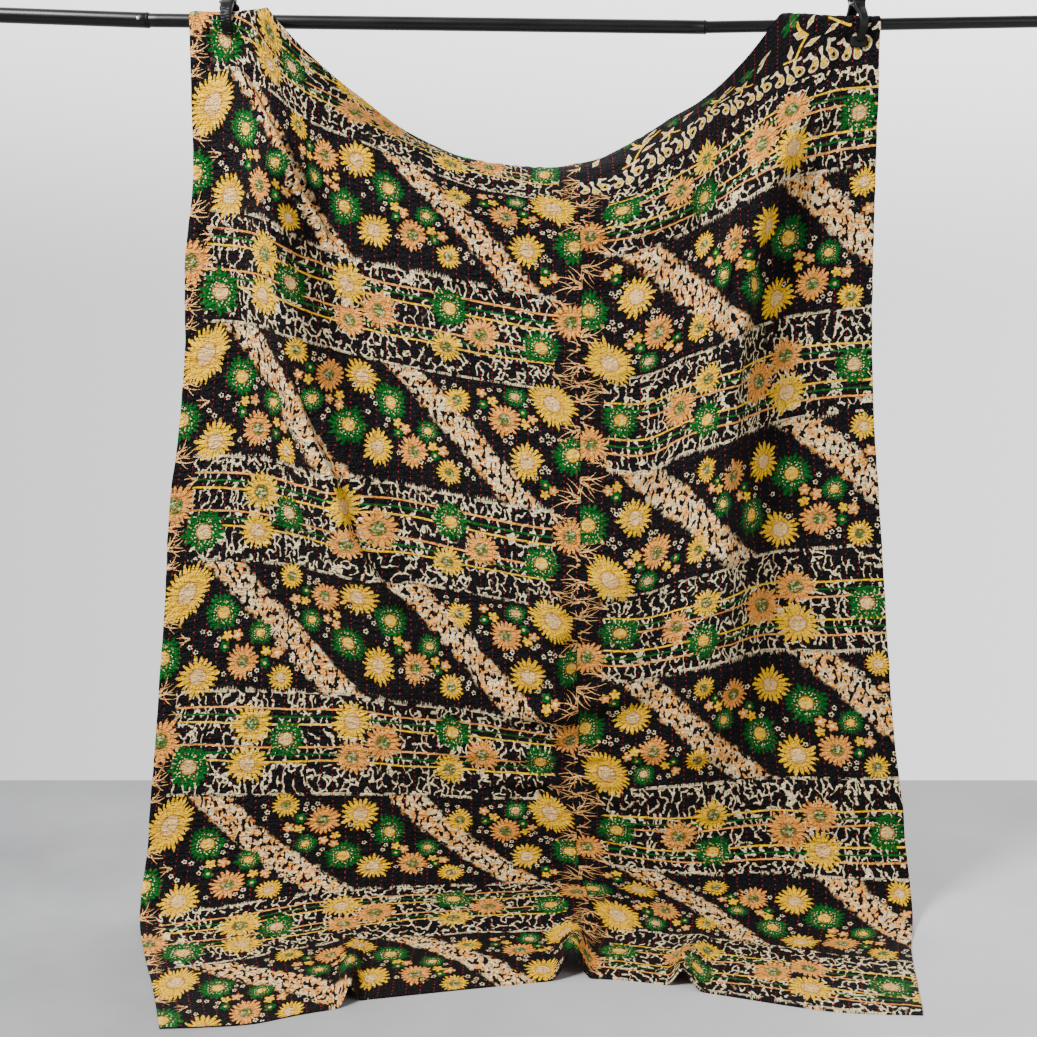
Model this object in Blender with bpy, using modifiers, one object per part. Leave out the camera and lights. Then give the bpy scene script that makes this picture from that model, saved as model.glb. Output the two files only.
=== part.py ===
"""Kantha quilt hung by its two top corners from a telescopic rod with two spring clamps.

The quilt is two printed lengths joined by one long seam.  Its corners go over the rod, the top
edge sags between them, the cloth bellies forward in the middle and its last half metre lies
on the floor towards the front.  Metres, +Z up, floor at Z = 0, front towards -Y.
"""
import math
from collections import namedtuple

import bmesh
import bpy
import numpy as np
from mathutils import Vector

# ---------------------------------------------------------------- sizes of the quilt
QUILT_WIDTH = 1.50          # flat, across both panels
QUILT_LENGTH = 2.22         # flat, top hem to bottom hem
SEAM_AT = 0.86              # flat distance of the joining seam from the left edge
SEAM_GAP = 0.0006
CLOTH = 0.003               # thickness
OVER_LEFT = 0.030           # extra cloth taken over the rod at the left corner
OVER_RIGHT = 0.075          # and at the right corner
HANG_TOP = 1.764            # height that a drop of nought would have
FLOOR_BEND = 0.15           # radius where the cloth turns forward onto the floor
ROD_CLEAR = 0.0020          # cloth to rod
LEAVES_LEFT = 0.20          # flat distances where the top hem comes off the rod
LEAVES_RIGHT = 1.27
LIFT_OFF = 0.018            # how far it stands off the rod there

# ---------------------------------------------------------------- sizes of the rod and clamps
ROD_Y = 0.2042              # depth of the rod's axis
ROD_END = 1.02              # half length of the rod
WALL = 0.0012
OUTER_R, MIDDLE_R, INNER_R = 0.0140, 0.0125, 0.0110
STEP_LEFT, STEP_RIGHT = -0.689, 0.3425      # where the rod changes section
ROD_Z_LEFT, ROD_Z_STEP_LEFT = 1.7217, 1.7105
ROD_Z_STEP_RIGHT, ROD_Z_RIGHT = 1.6980, 1.7092
INSERT = 0.004
COLLAR_LONG, COLLAR_OVER = 0.016, 0.0010
CAP_LONG, CAP_OVER = 0.010, 0.0012
SCREW_R, SCREW_HIGH = 0.0032, 0.0016
SIDES = 24
FIT = 0.0003
CLAMP_LEFT_AT, CLAMP_LEFT_TURN = 0.070, 0.0       # flat distance from the left edge, twist
CLAMP_RIGHT_AT, CLAMP_RIGHT_TURN = 1.458, 0.10
PIN_R, PIN_UP = 0.0036, 0.036
PIN_LONG = 0.034
PINCH_AT = 0.004            # half gap between the layers where a clamp nips them

# One row for each height of the hanging cloth: drop below the top, left and right edge, how
# far the swag pulls the middle down, how far the middle leans back (+) or bellies forward (-).
Section = namedtuple("Section", "drop left right sag lean")
SECTIONS = (
    Section(-0.08, -0.606, 0.668, 0.425, 0.150),
    Section(0.00, -0.606, 0.668, 0.335, 0.090),
    Section(0.10, -0.606, 0.667, 0.245, 0.020),
    Section(0.20, -0.606, 0.667, 0.205, -0.030),
    Section(0.35, -0.608, 0.666, 0.172, -0.030),
    Section(0.50, -0.626, 0.666, 0.160, -0.050),
    Section(0.67, -0.632, 0.670, 0.112, -0.070),
    Section(0.83, -0.650, 0.680, 0.098, -0.090),
    Section(0.98, -0.672, 0.695, 0.090, -0.100),
    Section(1.13, -0.682, 0.708, 0.050, -0.100),
    Section(1.28, -0.697, 0.722, 0.040, -0.070),
    Section(1.43, -0.712, 0.738, 0.022, -0.030),
    Section(1.60, -0.730, 0.762, -0.020, -0.010),
    Section(1.75, -0.735, 0.765, -0.070, 0.000),
    Section(1.90, -0.690, 0.725, -0.145, 0.000),
    Section(2.05, -0.635, 0.695, -0.170, 0.000),
    Section(2.20, -0.585, 0.665, -0.165, 0.000),
)

# Share of the sag at each flat distance across.
Swag = namedtuple("Swag", "across share")
SWAG = (
    Swag(0.00, 0.00), Swag(0.10, 0.03), Swag(0.18, 0.13), Swag(0.26, 0.30), Swag(0.40, 0.53),
    Swag(0.55, 0.72), Swag(0.70, 0.89), Swag(0.84, 1.00), Swag(0.95, 0.95), Swag(1.06, 0.77),
    Swag(1.13, 0.64), Swag(1.28, 0.31), Swag(1.36, 0.13), Swag(1.42, 0.05), Swag(1.50, 0.00),
)

# How much higher or lower the top hem hangs than that, at each flat distance across; it
# dies out 0.22 m down.
Hem = namedtuple("Hem", "across rise")
HEM = (
    Hem(0.13, 0.000), Hem(0.16, -0.016), Hem(0.18, -0.028), Hem(0.20, -0.031), Hem(0.24, -0.023),
    Hem(0.32, -0.016), Hem(0.40, -0.022), Hem(0.50, -0.040), Hem(0.58, -0.037), Hem(0.66, -0.024),
    Hem(0.74, 0.000), Hem(0.82, 0.024), Hem(0.90, 0.038), Hem(0.98, 0.049), Hem(1.04, 0.040),
    Hem(1.12, 0.010), Hem(1.20, -0.017), Hem(1.25, -0.026), Hem(1.31, -0.018), Hem(1.36, 0.000),
)

# Pipe folds that run down from the clamps: three points of the ridge (across, drop), the
# half width and how far the ridge stands forward.
Fold = namedtuple("Fold", "name across1 drop1 across2 drop2 across3 drop3 half deep")
FOLDS = (
    Fold("left pull", 0.10, 0.03, 0.24, 0.55, 0.50, 1.30, 0.15, 0.085),
    Fold("right pull", 1.38, 0.03, 1.19, 0.45, 1.12, 1.45, 0.15, 0.080),
)

# Tunnels that open in the bottom hem: centre across, half width in the flat, height,
# width that they take up, drop where they start.
Tunnel = namedtuple("Tunnel", "name across half high takes start")
TUNNELS = (
    Tunnel("left pleat", 0.385, 0.060, 0.034, 0.000, 1.80),
    Tunnel("seam tunnel", 0.835, 0.072, 0.056, 0.062, 1.82),
    Tunnel("right tunnel", 1.085, 0.055, 0.034, 0.040, 1.84),
)

# Cells of the cloth's net: flat position and the count of cells up to it.
Net = namedtuple("Net", "at cells")
ROWS = (Net(0.00, 0), Net(0.15, 15), Net(0.22, 19), Net(1.62, 42), Net(QUILT_LENGTH, 57))
COLUMNS_LEFT = (Net(0.00, 0), Net(0.24, 10), Net(0.33, 12), Net(0.44, 17), Net(0.76, 23),
                Net(SEAM_AT, 27))
COLUMNS_RIGHT = (Net(SEAM_AT, 0), Net(0.91, 3), Net(1.03, 6), Net(1.14, 11), Net(1.26, 13),
                 Net(QUILT_WIDTH, 23))

# One arm of a clamp, from the handle's end to the jaw's tip: height over the rod's axis,
# distance of its centre line from the rod's plane, width and thickness.
Arm = namedtuple("Arm", "up out wide thick")
ARM = (
    Arm(0.108, 0.0380, 0.0180, 0.0040),
    Arm(0.102, 0.0375, 0.0240, 0.0060),
    Arm(0.075, 0.0270, 0.0260, 0.0065),
    Arm(0.050, 0.0140, 0.0280, 0.0080),
    Arm(0.036, 0.0085, 0.0310, 0.0090),
    Arm(0.026, 0.0140, 0.0310, 0.0090),
    Arm(0.014, 0.0222, 0.0290, 0.0080),
    Arm(0.000, 0.0226, 0.0240, 0.0075),
    Arm(-0.014, 0.0222, 0.0220, 0.0075),
    Arm(-0.026, 0.0182, 0.0220, 0.0075),
    Arm(-0.036, 0.0124, 0.0220, 0.0080),
    Arm(-0.047, 0.0116, 0.0220, 0.0080),
    Arm(-0.051, 0.0124, 0.0200, 0.0060),
)


# ---------------------------------------------------------------- the drape
def curve(table, at, key, value):
    """A smooth curve through one column of a table, flat beyond its ends."""
    xs = np.array([getattr(row, key) for row in table])
    ys = np.array([getattr(row, value) for row in table])
    slope = np.gradient(ys, xs)
    at = np.clip(at, xs[0], xs[-1])
    i = np.clip(np.searchsorted(xs, at) - 1, 0, len(xs) - 2)
    h = xs[i + 1] - xs[i]
    u = (at - xs[i]) / h
    return ((1 + 2 * u) * (1 - u) ** 2 * ys[i] + u * (1 - u) ** 2 * h * slope[i]
            + u * u * (3 - 2 * u) * ys[i + 1] + u * u * (u - 1) * h * slope[i + 1])


def ease(low, high, at):
    u = np.clip((at - low) / (high - low), 0.0, 1.0)
    return u * u * (3 - 2 * u)


def hump(centre, half, at):
    """A raised cosine: 1 at the centre, 0 from half away."""
    return 0.5 + 0.5 * np.cos(np.pi * np.clip((at - centre) / half, -1.0, 1.0))


def rod_axis_z(x):
    return np.interp(x, (-ROD_END, STEP_LEFT, STEP_RIGHT, ROD_END),
                     (ROD_Z_LEFT, ROD_Z_STEP_LEFT, ROD_Z_STEP_RIGHT, ROD_Z_RIGHT))


def across_to_x(s, t):
    """Where a point of the flat cloth comes to lie from left to right."""
    shift_left = curve(SECTIONS, t, "drop", "left") + 0.606
    shift_right = curve(SECTIONS, t, "drop", "right") - 0.894
    low = ease(1.65, 2.0, t)
    shift_mid = -0.105 - 0.035 * np.clip((s - 0.42) / 0.44, 0, 1) * (1 - low)
    for tunnel in TUNNELS:
        shift_mid = shift_mid - (tunnel.takes * ease(tunnel.start, 2.2, t)
                                 * ease(tunnel.across - tunnel.half, tunnel.across + tunnel.half, s))
    hanging = ease(0.05, 0.42, s)
    lying = 0.35 * ease(0.00, 0.33, s) + 0.65 * ease(0.31, 0.46, s)
    to_mid = hanging * (1 - low) + lying * low
    to_right = ease(0.96, 1.34, s)
    shift = (shift_left * (1 - to_mid) + shift_mid * to_mid) * (1 - to_right) + shift_right * to_right
    return s - 0.606 + shift


def forward(s, t):
    """Depth of the hanging cloth before it meets the rod or the floor."""
    y = curve(SECTIONS, t, "drop", "lean") * hump(0.85, 0.55, s)
    for fold in FOLDS:
        ridge = np.interp(t, (fold.drop1, fold.drop2, fold.drop3),
                          (fold.across1, fold.across2, fold.across3))
        grown = ease(fold.drop1 + 0.09, fold.drop1 + 0.32, t) * (1 - ease(fold.drop3 - 0.45, fold.drop3 + 0.25, t))
        y = y - fold.deep * grown * hump(ridge, fold.half, s)
    return y


def drape(s, v):
    """The cloth's middle surface at flat position (s across, v down from the top hem)."""
    t = v - (OVER_LEFT + (OVER_RIGHT - OVER_LEFT) * s / QUILT_WIDTH)
    x = across_to_x(s, t)
    height = HANG_TOP - t - curve(SECTIONS, t, "drop", "sag") * curve(SWAG, s, "across", "share")
    height = height + curve(HEM, s, "across", "rise") * (1 - ease(0.02, 0.22, v))
    y = forward(s, t)
    # over the rod and down behind it
    axis_z = rod_axis_z(x)
    loose = LIFT_OFF * ease(LEAVES_LEFT - 0.13, LEAVES_LEFT, s) * (1 - ease(LEAVES_RIGHT, LEAVES_RIGHT + 0.20, s))
    radius = np.where(x < 0, MIDDLE_R, INNER_R) + ROD_CLEAR + CLOTH / 2 + loose
    above = np.clip(height - axis_z, 0, None)
    turn = np.minimum(above / radius, np.pi)
    spare = np.clip(above - np.pi * radius, 0, None)
    y = np.where(above > 0, -radius * np.cos(turn) + y, -radius + y)
    z = np.where(above > 0, axis_z + radius * np.sin(turn) - spare, height)
    # nipped together under the rod by each clamp
    for at in (CLAMP_LEFT_AT, CLAMP_RIGHT_AT):
        below = axis_z - z
        nip = (1 - ease(0.020, 0.055, np.abs(s - at))) * ease(0.008, 0.036, below) * (1 - ease(0.05, 0.11, below))
        y = np.where(np.abs(y) < 0.05, y * (1 - nip * (1 - PINCH_AT / radius)), y)
    # forward onto the floor
    past = FLOOR_BEND - (height - CLOTH / 2)
    bend = np.clip(past / FLOOR_BEND, 0, np.pi / 2)
    flat = np.clip(past - FLOOR_BEND * np.pi / 2, 0, None)
    y = np.where(past > 0, y - FLOOR_BEND * (1 - np.cos(bend)) - flat, y)
    z = np.where(past > 0, CLOTH / 2 + FLOOR_BEND * (1 - np.sin(bend)), z)
    for tunnel in TUNNELS:
        z = z + tunnel.high * ease(tunnel.start, 2.2, t) * hump(tunnel.across, tunnel.half, s)
    return x, y + ROD_Y, z


# ---------------------------------------------------------------- making things
for thing in list(bpy.data.objects):
    bpy.data.objects.remove(thing, do_unlink=True)
PARTS = bpy.data.collections.new("kantha_quilt_on_clamp_rod")
bpy.context.scene.collection.children.link(PARTS)


def finish(thing, name, colour, rough, metal=0.0, smooth=True):
    """Names an object, gives it its own material and puts it in the part's collection."""
    thing.name = name
    thing.data.name = name
    for holder in list(thing.users_collection):
        holder.objects.unlink(thing)
    PARTS.objects.link(thing)
    surface = bpy.data.materials.new(name)
    surface.use_nodes = True
    shader = surface.node_tree.nodes["Principled BSDF"]
    shader.inputs["Base Color"].default_value = (*colour, 1.0)
    shader.inputs["Roughness"].default_value = rough
    shader.inputs["Metallic"].default_value = metal
    thing.data.materials.clear()
    thing.data.materials.append(surface)
    if smooth:
        thing.data.shade_smooth()
    return thing


def panel(name, columns, colour):
    """A net of cells moved onto the drape, then given its thickness."""
    across, down = columns[-1].cells, ROWS[-1].cells
    net = bmesh.new()
    bmesh.ops.create_grid(net, x_segments=across, y_segments=down, size=0.5)
    for vert in net.verts:
        column = round((vert.co.x + 0.5) * across)
        row = round((0.5 - vert.co.y) * down)
        s = np.interp(column, [c.cells for c in columns], [c.at for c in columns])
        v = np.interp(row, [r.cells for r in ROWS], [r.at for r in ROWS])
        if s == SEAM_AT:
            s += math.copysign(SEAM_GAP / 2, columns[0].at + columns[-1].at - 2 * SEAM_AT)
        vert.co = Vector([float(c) for c in drape(s, v)])
    mesh = bpy.data.meshes.new(name)
    net.to_mesh(mesh)
    net.free()
    thing = bpy.data.objects.new(name, mesh)
    thick = thing.modifiers.new("cloth", "SOLIDIFY")
    thick.thickness = CLOTH
    thick.offset = 0.0
    return finish(thing, name, colour, 0.9)


def tube(name, start, end, radius, bore=None):
    """A round bar or tube between two points, sides flat to the front."""
    run = Vector(end) - Vector(start)
    bpy.ops.mesh.primitive_cylinder_add(
        vertices=SIDES, radius=radius, depth=run.length,
        end_fill_type="NGON" if bore is None else "NOTHING",
        location=(Vector(start) + Vector(end)) / 2)
    thing = bpy.context.object
    thing.rotation_mode = "QUATERNION"
    thing.rotation_quaternion = run.to_track_quat("Z", "Y")
    if bore is not None:
        wall = thing.modifiers.new("wall", "SOLIDIFY")
        wall.thickness = radius - bore
        wall.offset = -1.0
    finish(thing, name, (0.012, 0.012, 0.013), 0.38, 0.0)
    thing.data.set_sharp_from_angle(angle=math.radians(35))
    return thing


def clamp_arm(name, x, z, facing, turn):
    """One handle and jaw, a loft of four-cornered sections down the arm's stations."""
    net = bmesh.new()
    rings = []
    for i, here in enumerate(ARM):
        before, after = ARM[max(i - 1, 0)], ARM[min(i + 1, len(ARM) - 1)]
        along = Vector((0, facing * (after.out - before.out), after.up - before.up)).normalized()
        out = Vector((0, -along.z, along.y)) * (1 if facing > 0 else -1)
        middle = Vector((0, facing * here.out, here.up))
        ring = []
        for side, face in ((-1, -1), (1, -1), (1, 1), (-1, 1)):
            spot = middle + out * (face * here.thick / 2)
            wide = side * here.wide / 2
            ring.append(net.verts.new((wide * math.cos(turn) - spot.y * math.sin(turn),
                                       wide * math.sin(turn) + spot.y * math.cos(turn), spot.z)))
        rings.append(ring)
    for upper, lower in zip(rings, rings[1:]):
        for i in range(4):
            j = (i + 1) % 4
            net.faces.new((upper[i], upper[j], lower[j], lower[i]))
    net.faces.new(rings[0])
    net.faces.new(list(reversed(rings[-1])))
    bmesh.ops.recalc_face_normals(net, faces=net.faces)
    mesh = bpy.data.meshes.new(name)
    net.to_mesh(mesh)
    net.free()
    thing = bpy.data.objects.new(name, mesh)
    thing.location = (x, ROD_Y, z)
    edge = thing.modifiers.new("edges", "BEVEL")
    edge.width = 0.0010
    edge.segments = 1
    edge.limit_method = "ANGLE"
    edge.angle_limit = math.radians(50)
    return finish(thing, name, (0.015, 0.015, 0.016), 0.5, smooth=False)


# ---------------------------------------------------------------- the quilt
panel("quilt_left_panel", COLUMNS_LEFT, (0.10, 0.08, 0.04))
panel("quilt_right_panel", COLUMNS_RIGHT, (0.10, 0.08, 0.05))

# ---------------------------------------------------------------- the rod
left_end = Vector((-ROD_END, ROD_Y, ROD_Z_LEFT))
left_step = Vector((STEP_LEFT, ROD_Y, ROD_Z_STEP_LEFT))
right_step = Vector((STEP_RIGHT, ROD_Y, ROD_Z_STEP_RIGHT))
right_end = Vector((ROD_END, ROD_Y, ROD_Z_RIGHT))
run_left = (left_step - left_end).normalized()
run_middle = (right_step - left_step).normalized()
run_right = (right_end - right_step).normalized()
tube("rod_outer_tube", left_end, left_step, OUTER_R, OUTER_R - WALL)
tube("rod_middle_tube", left_step - run_middle * INSERT, right_step, MIDDLE_R, MIDDLE_R - WALL)
tube("rod_inner_tube", right_step - run_right * INSERT, right_end, INNER_R, INNER_R - WALL)
start = left_step + run_middle * 0.0006
tube("rod_collar_left", start, start + run_middle * COLLAR_LONG, OUTER_R + COLLAR_OVER, MIDDLE_R + FIT)
start = right_step + run_right * 0.0006
tube("rod_collar_right", start, start + run_right * COLLAR_LONG, MIDDLE_R + COLLAR_OVER, INNER_R + FIT)
along_x = Vector((1, 0, 0))
start = left_end - along_x * 0.0009
tube("rod_cap_left", start, start - along_x * CAP_LONG, OUTER_R + CAP_OVER)
start = right_end + along_x * 0.0009
tube("rod_cap_right", start, start + along_x * CAP_LONG, INNER_R + CAP_OVER)
screw = left_step - run_left * 0.012 + Vector((0, -(OUTER_R + FIT), 0))
tube("rod_lock_screw", screw, screw + Vector((0, -SCREW_HIGH, 0)), SCREW_R)

# ---------------------------------------------------------------- the clamps
for side, at, turn in (("left", CLAMP_LEFT_AT, CLAMP_LEFT_TURN),
                       ("right", CLAMP_RIGHT_AT, CLAMP_RIGHT_TURN)):
    x = float(across_to_x(at, 0.05))
    z = float(rod_axis_z(x))
    clamp_arm("clamp_" + side + "_front", x, z, -1, turn)
    clamp_arm("clamp_" + side + "_back", x, z, 1, turn)
    half = Vector((math.cos(turn), math.sin(turn), 0)) * (PIN_LONG / 2)
    middle = Vector((x, ROD_Y, z + PIN_UP))
    tube("clamp_" + side + "_pin", middle - half, middle + half, PIN_R)
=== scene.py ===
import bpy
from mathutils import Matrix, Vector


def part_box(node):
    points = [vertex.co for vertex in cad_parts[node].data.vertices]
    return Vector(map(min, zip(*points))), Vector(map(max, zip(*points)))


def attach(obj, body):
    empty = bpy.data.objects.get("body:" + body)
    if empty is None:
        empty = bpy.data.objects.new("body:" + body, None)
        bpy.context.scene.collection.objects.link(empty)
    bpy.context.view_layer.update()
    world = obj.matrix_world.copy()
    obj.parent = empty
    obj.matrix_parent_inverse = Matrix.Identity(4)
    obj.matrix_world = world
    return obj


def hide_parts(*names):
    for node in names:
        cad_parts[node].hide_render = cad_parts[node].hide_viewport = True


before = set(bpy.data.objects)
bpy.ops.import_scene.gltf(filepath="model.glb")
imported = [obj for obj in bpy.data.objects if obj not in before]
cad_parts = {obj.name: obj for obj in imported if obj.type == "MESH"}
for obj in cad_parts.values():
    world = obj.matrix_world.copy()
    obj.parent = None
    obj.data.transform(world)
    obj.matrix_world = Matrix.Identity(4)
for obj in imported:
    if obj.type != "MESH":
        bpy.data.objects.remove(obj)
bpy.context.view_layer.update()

import math

import bmesh
import bpy
import numpy as np

# ------------------------------------------------------------------------------------------
# The studio.  A pale matt floor, painted darker towards the left as painted shade, that ends a
# metre behind the rod, an even pale surround, one broad soft lamp in front to the left and a weak
# one to the right.
# ------------------------------------------------------------------------------------------
EYE = (0.0, -2.4798, 1.106)
LOOK_DOWN = math.radians(6.9)
FLOOR_BACK = 1.03

camera_lens = bpy.data.cameras.new("camera")
camera_lens.sensor_width = 36.0
camera_lens.lens = 48.6
camera_lens.clip_end = 60.0
camera = bpy.data.objects.new("camera", camera_lens)
camera.location = EYE
camera.rotation_euler = (math.pi / 2 - LOOK_DOWN, 0.0, 0.0)
bpy.context.scene.collection.objects.link(camera)
bpy.context.scene.camera = camera

for name, place, aim, size, power in (
        ("lamp_left", (-2.3, -2.2, 3.9), (0.0, 0.2, 0.9), 1.2, 448.0),
        ("lamp_right", (3.0, -2.9, 2.2), (0.0, 0.2, 0.8), 2.2, 62.0)):
    lamp = bpy.data.lights.new(name, "AREA")
    lamp.shape, lamp.size, lamp.energy = "SQUARE", size, power
    holder = bpy.data.objects.new(name, lamp)
    holder.location = place
    way = [a - b for a, b in zip(aim, place)]
    flat = math.hypot(way[0], way[1])
    holder.rotation_euler = (math.pi / 2 + math.atan2(way[2], flat), 0.0, math.atan2(-way[0], way[1]))
    bpy.context.scene.collection.objects.link(holder)


class Strand:
    """One socket of a material.  Sums on it add Math nodes; node() adds any other node."""

    def __init__(self, tree, socket=None):
        self.tree, self.socket = tree, socket

    def node(self, kind, settings=None, inputs=None, output=0):
        made = self.tree.nodes.new(kind)
        for key, value in (settings or {}).items():
            setattr(made, key, value)
        for key, value in (inputs or {}).items():
            if isinstance(value, Strand):
                self.tree.links.new(value.socket, made.inputs[key])
            else:
                made.inputs[key].default_value = value
        return Strand(self.tree, made.outputs[output])

    def sum(self, operation, *values, clamp=False):
        return self.node("ShaderNodeMath", {"operation": operation, "use_clamp": clamp},
                         dict(enumerate(values)))

    def __add__(self, other): return self.sum("ADD", self, other)
    def __radd__(self, other): return self.sum("ADD", other, self)
    def __sub__(self, other): return self.sum("SUBTRACT", self, other)
    def __rsub__(self, other): return self.sum("SUBTRACT", other, self)
    def __mul__(self, other): return self.sum("MULTIPLY", self, other)
    def __rmul__(self, other): return self.sum("MULTIPLY", other, self)
    def __truediv__(self, other): return self.sum("DIVIDE", self, other)
    def __gt__(self, other): return self.sum("GREATER_THAN", self, other)
    def __pow__(self, other): return self.sum("POWER", self, other)
    def __abs__(self): return self.sum("ABSOLUTE", self)

    def wrap(self, period): return self.sum("FLOORED_MODULO", self, period)
    def larger(self, other): return self.sum("MAXIMUM", self, other)
    def smaller(self, other): return self.sum("MINIMUM", self, other)

    def ease(self, low, high):
        """0 below low, 1 above high, a smooth step between (low may be the larger)."""
        return self.node("ShaderNodeMapRange", {"interpolation_type": "SMOOTHSTEP"},
                         {"Value": self, "From Min": low, "From Max": high})

    def tint(self, mask, under, over, blend="MIX"):
        """One colour laid over another, or multiplied with it, where the mask is 1."""
        under, over = (c if isinstance(c, Strand) else (*c, 1.0) for c in (under, over))
        return self.node("ShaderNodeMix", {"data_type": "RGBA", "blend_type": blend},
                         {0: mask, 6: under, 7: over}, 2)

    def scaled(self, *by):
        """A vector with each of its numbers multiplied."""
        return self.node("ShaderNodeVectorMath", {"operation": "MULTIPLY"}, {0: self, 1: by})

    def random(self, kind="1D"):
        """A random number for each whole number, or for each place."""
        return self.node("ShaderNodeTexWhiteNoise", {"noise_dimensions": kind},
                         {"W" if kind == "1D" else "Vector": self})

    def whole(self): return self.sum("FLOOR", self)

    def parts(self, number):
        """The numbers that make up a vector."""
        split = self.node("ShaderNodeSeparateXYZ", inputs={0: self})
        return [Strand(self.tree, split.socket.node.outputs[n]) for n in range(number)]

    def out(self, name):
        """Another output of the node that this socket is on."""
        return Strand(self.tree, self.socket.node.outputs[name])

    def feed(self, shader, name):
        """Links this socket to one of a shader's."""
        self.tree.links.new(self.socket, shader.inputs[name])

    def bump(self, shader):
        """Gives a shader this height, in metres, as bump."""
        bumped = self.node("ShaderNodeBump", inputs={"Strength": 1.0, "Distance": 1.0, "Height": self})
        bumped.feed(shader, "Normal")

    def map(self, name):
        """Places from one of the mesh's UV maps."""
        return self.node("ShaderNodeUVMap", {"uv_map": name})

    def mark(self, name):
        """A value that the mesh keeps for each face."""
        return self.node("ShaderNodeAttribute", {"attribute_name": name}, output=1)

    def place(self):
        """Places on the object itself, in metres."""
        return self.node("ShaderNodeTexCoord", output=3)

    def noise(self, where, scale, detail=2.0, rough=0.5, output=0):
        return self.node("ShaderNodeTexNoise", {"noise_dimensions": "3D"},
                         {"Vector": where, "Scale": scale, "Detail": detail, "Roughness": rough}, output)


# the surround is a bright wall behind the quilt, darker to the left and lighter towards the
# ceiling, that fades to a dimmer room before it
surround = bpy.data.worlds.new("surround")
surround.use_nodes = True
air = Strand(surround.node_tree)
across, ahead, up = air.node("ShaderNodeTexCoord").parts(3)
glow = (0.30 + 1.90 * ahead.ease(-0.3, 0.8)) * (
    0.68 + 0.38 * across.larger(-0.4).smaller(0.4) + 0.64 * up.ease(0.03, 0.27))
wall_light = air.tree.nodes["Background"]
glow.feed(wall_light, "Strength")
wall_light.inputs["Color"].default_value = (0.98, 0.985, 1.0, 1.0)
bpy.context.scene.world = surround


def paint(red, green, blue):
    """A colour from its screen values, 0 to 255, to the shader's linear ones."""
    return tuple((c / 255 / 12.92) if c < 10 else ((c / 255 + 0.055) / 1.055) ** 2.4
                 for c in (red, green, blue))


def new_finish(name, rough):
    """A material with a Principled shader; gives the strand to build on and the shader."""
    finish = bpy.data.materials.new(name)
    finish.use_nodes = True
    shader = finish.node_tree.nodes["Principled BSDF"]
    shader.inputs["Roughness"].default_value = rough
    return finish, Strand(finish.node_tree), shader


def surface(name, points, faces, finishes, smooth=True):
    """A mesh object at the origin from an array of points and a list of faces."""
    mesh = bpy.data.meshes.new(name)
    mesh.from_pydata(points.reshape(-1, 3), [], faces)
    for finish in finishes:
        mesh.materials.append(finish)
    thing = bpy.data.objects.new(name, mesh)
    bpy.context.scene.collection.objects.link(thing)
    if smooth:
        mesh.shade_smooth()
    return thing


floor_finish, strand, shader = new_finish("floor_paint_and_painted_shade", 0.62)
place = strand.place()
# a random cloud-like tone, and painted shade: the floor is painted darker towards the left
tone_and_painted_shade = 0.45 * strand.noise(place, 2.2, 5.0, 0.6) + 0.55 * place.parts(1)[0].ease(-1.3, 0.9)
strand.tint(tone_and_painted_shade, paint(82, 83, 85), paint(196, 197, 198)).feed(shader, "Base Color")
corners = np.array([(-4.0, -3.6, 0.0), (4.0, -3.6, 0.0), (4.0, FLOOR_BACK, 0.0), (-4.0, FLOOR_BACK, 0.0)])
floor = surface("floor", corners, [[0, 1, 2, 3]], [floor_finish], smooth=False)

# ------------------------------------------------------------------------------------------
# The left panel of the quilt.  A length of printed cotton, 0.86 m by 2.22 m with its hems,
# laid on a plain red backing and joined to it by hand in upright rows of running stitch.  Its
# top corner goes over the rod, and its last half metre lies on the floor.
# ------------------------------------------------------------------------------------------
QUILT_WIDTH, QUILT_LENGTH = 1.50, 2.22
SEAM_AT = 0.86
SEAM_HALF_GAP = 0.00003
MIDDLE_AT = 0.606           # flat distance across of the line that hangs at x = 0
CLOTH = 0.0026              # thickness
OVER_LEFT, OVER_RIGHT = 0.030, 0.075
HANG_TOP = 1.764
FLOOR_BEND = 0.15
FLOOR_LIFT = 0.0015
ROD_Y = 0.2042
ROD_Z = ((-1.02, 1.7217), (-0.689, 1.7105), (0.3425, 1.6980), (1.02, 1.7092))
WRAP_LEFT, WRAP_RIGHT = 0.0160, 0.0145
LEAVES_LEFT, LEAVES_RIGHT, LIFT_OFF = 0.20, 1.27, 0.010
# where the clamps nip the cloth: across, how far below the rod's axis it is closed; half gap
NIPS = ((0.070, 0.021), (1.458, 0.029))
NIP_HALF = 0.004

# drop below the top: left edge, right edge, sag of the middle, lean of the middle
SECTIONS = {
    -0.08: (-0.606, 0.668, 0.425, 0.150), 0.00: (-0.606, 0.668, 0.335, 0.090),
    0.10: (-0.606, 0.667, 0.245, 0.020), 0.20: (-0.606, 0.667, 0.205, -0.030),
    0.35: (-0.608, 0.666, 0.172, -0.030), 0.50: (-0.626, 0.666, 0.160, -0.050),
    0.67: (-0.632, 0.670, 0.112, -0.070), 0.83: (-0.650, 0.680, 0.098, -0.090),
    0.98: (-0.672, 0.695, 0.090, -0.100), 1.13: (-0.682, 0.708, 0.050, -0.100),
    1.28: (-0.697, 0.722, 0.040, -0.070), 1.43: (-0.712, 0.738, 0.022, -0.030),
    1.60: (-0.730, 0.762, -0.020, -0.010), 1.75: (-0.735, 0.765, -0.070, 0.000),
    1.90: (-0.690, 0.725, -0.145, 0.000), 2.05: (-0.635, 0.695, -0.170, 0.000),
    2.20: (-0.585, 0.665, -0.165, 0.000)}
# share of the sag at each flat distance across
SWAG = {0.00: 0.00, 0.10: 0.03, 0.18: 0.13, 0.26: 0.30, 0.40: 0.53, 0.55: 0.72, 0.70: 0.89,
        0.84: 1.00, 0.95: 0.95, 1.06: 0.77, 1.13: 0.64, 1.28: 0.31, 1.36: 0.13, 1.42: 0.05,
        1.50: 0.00}
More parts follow.
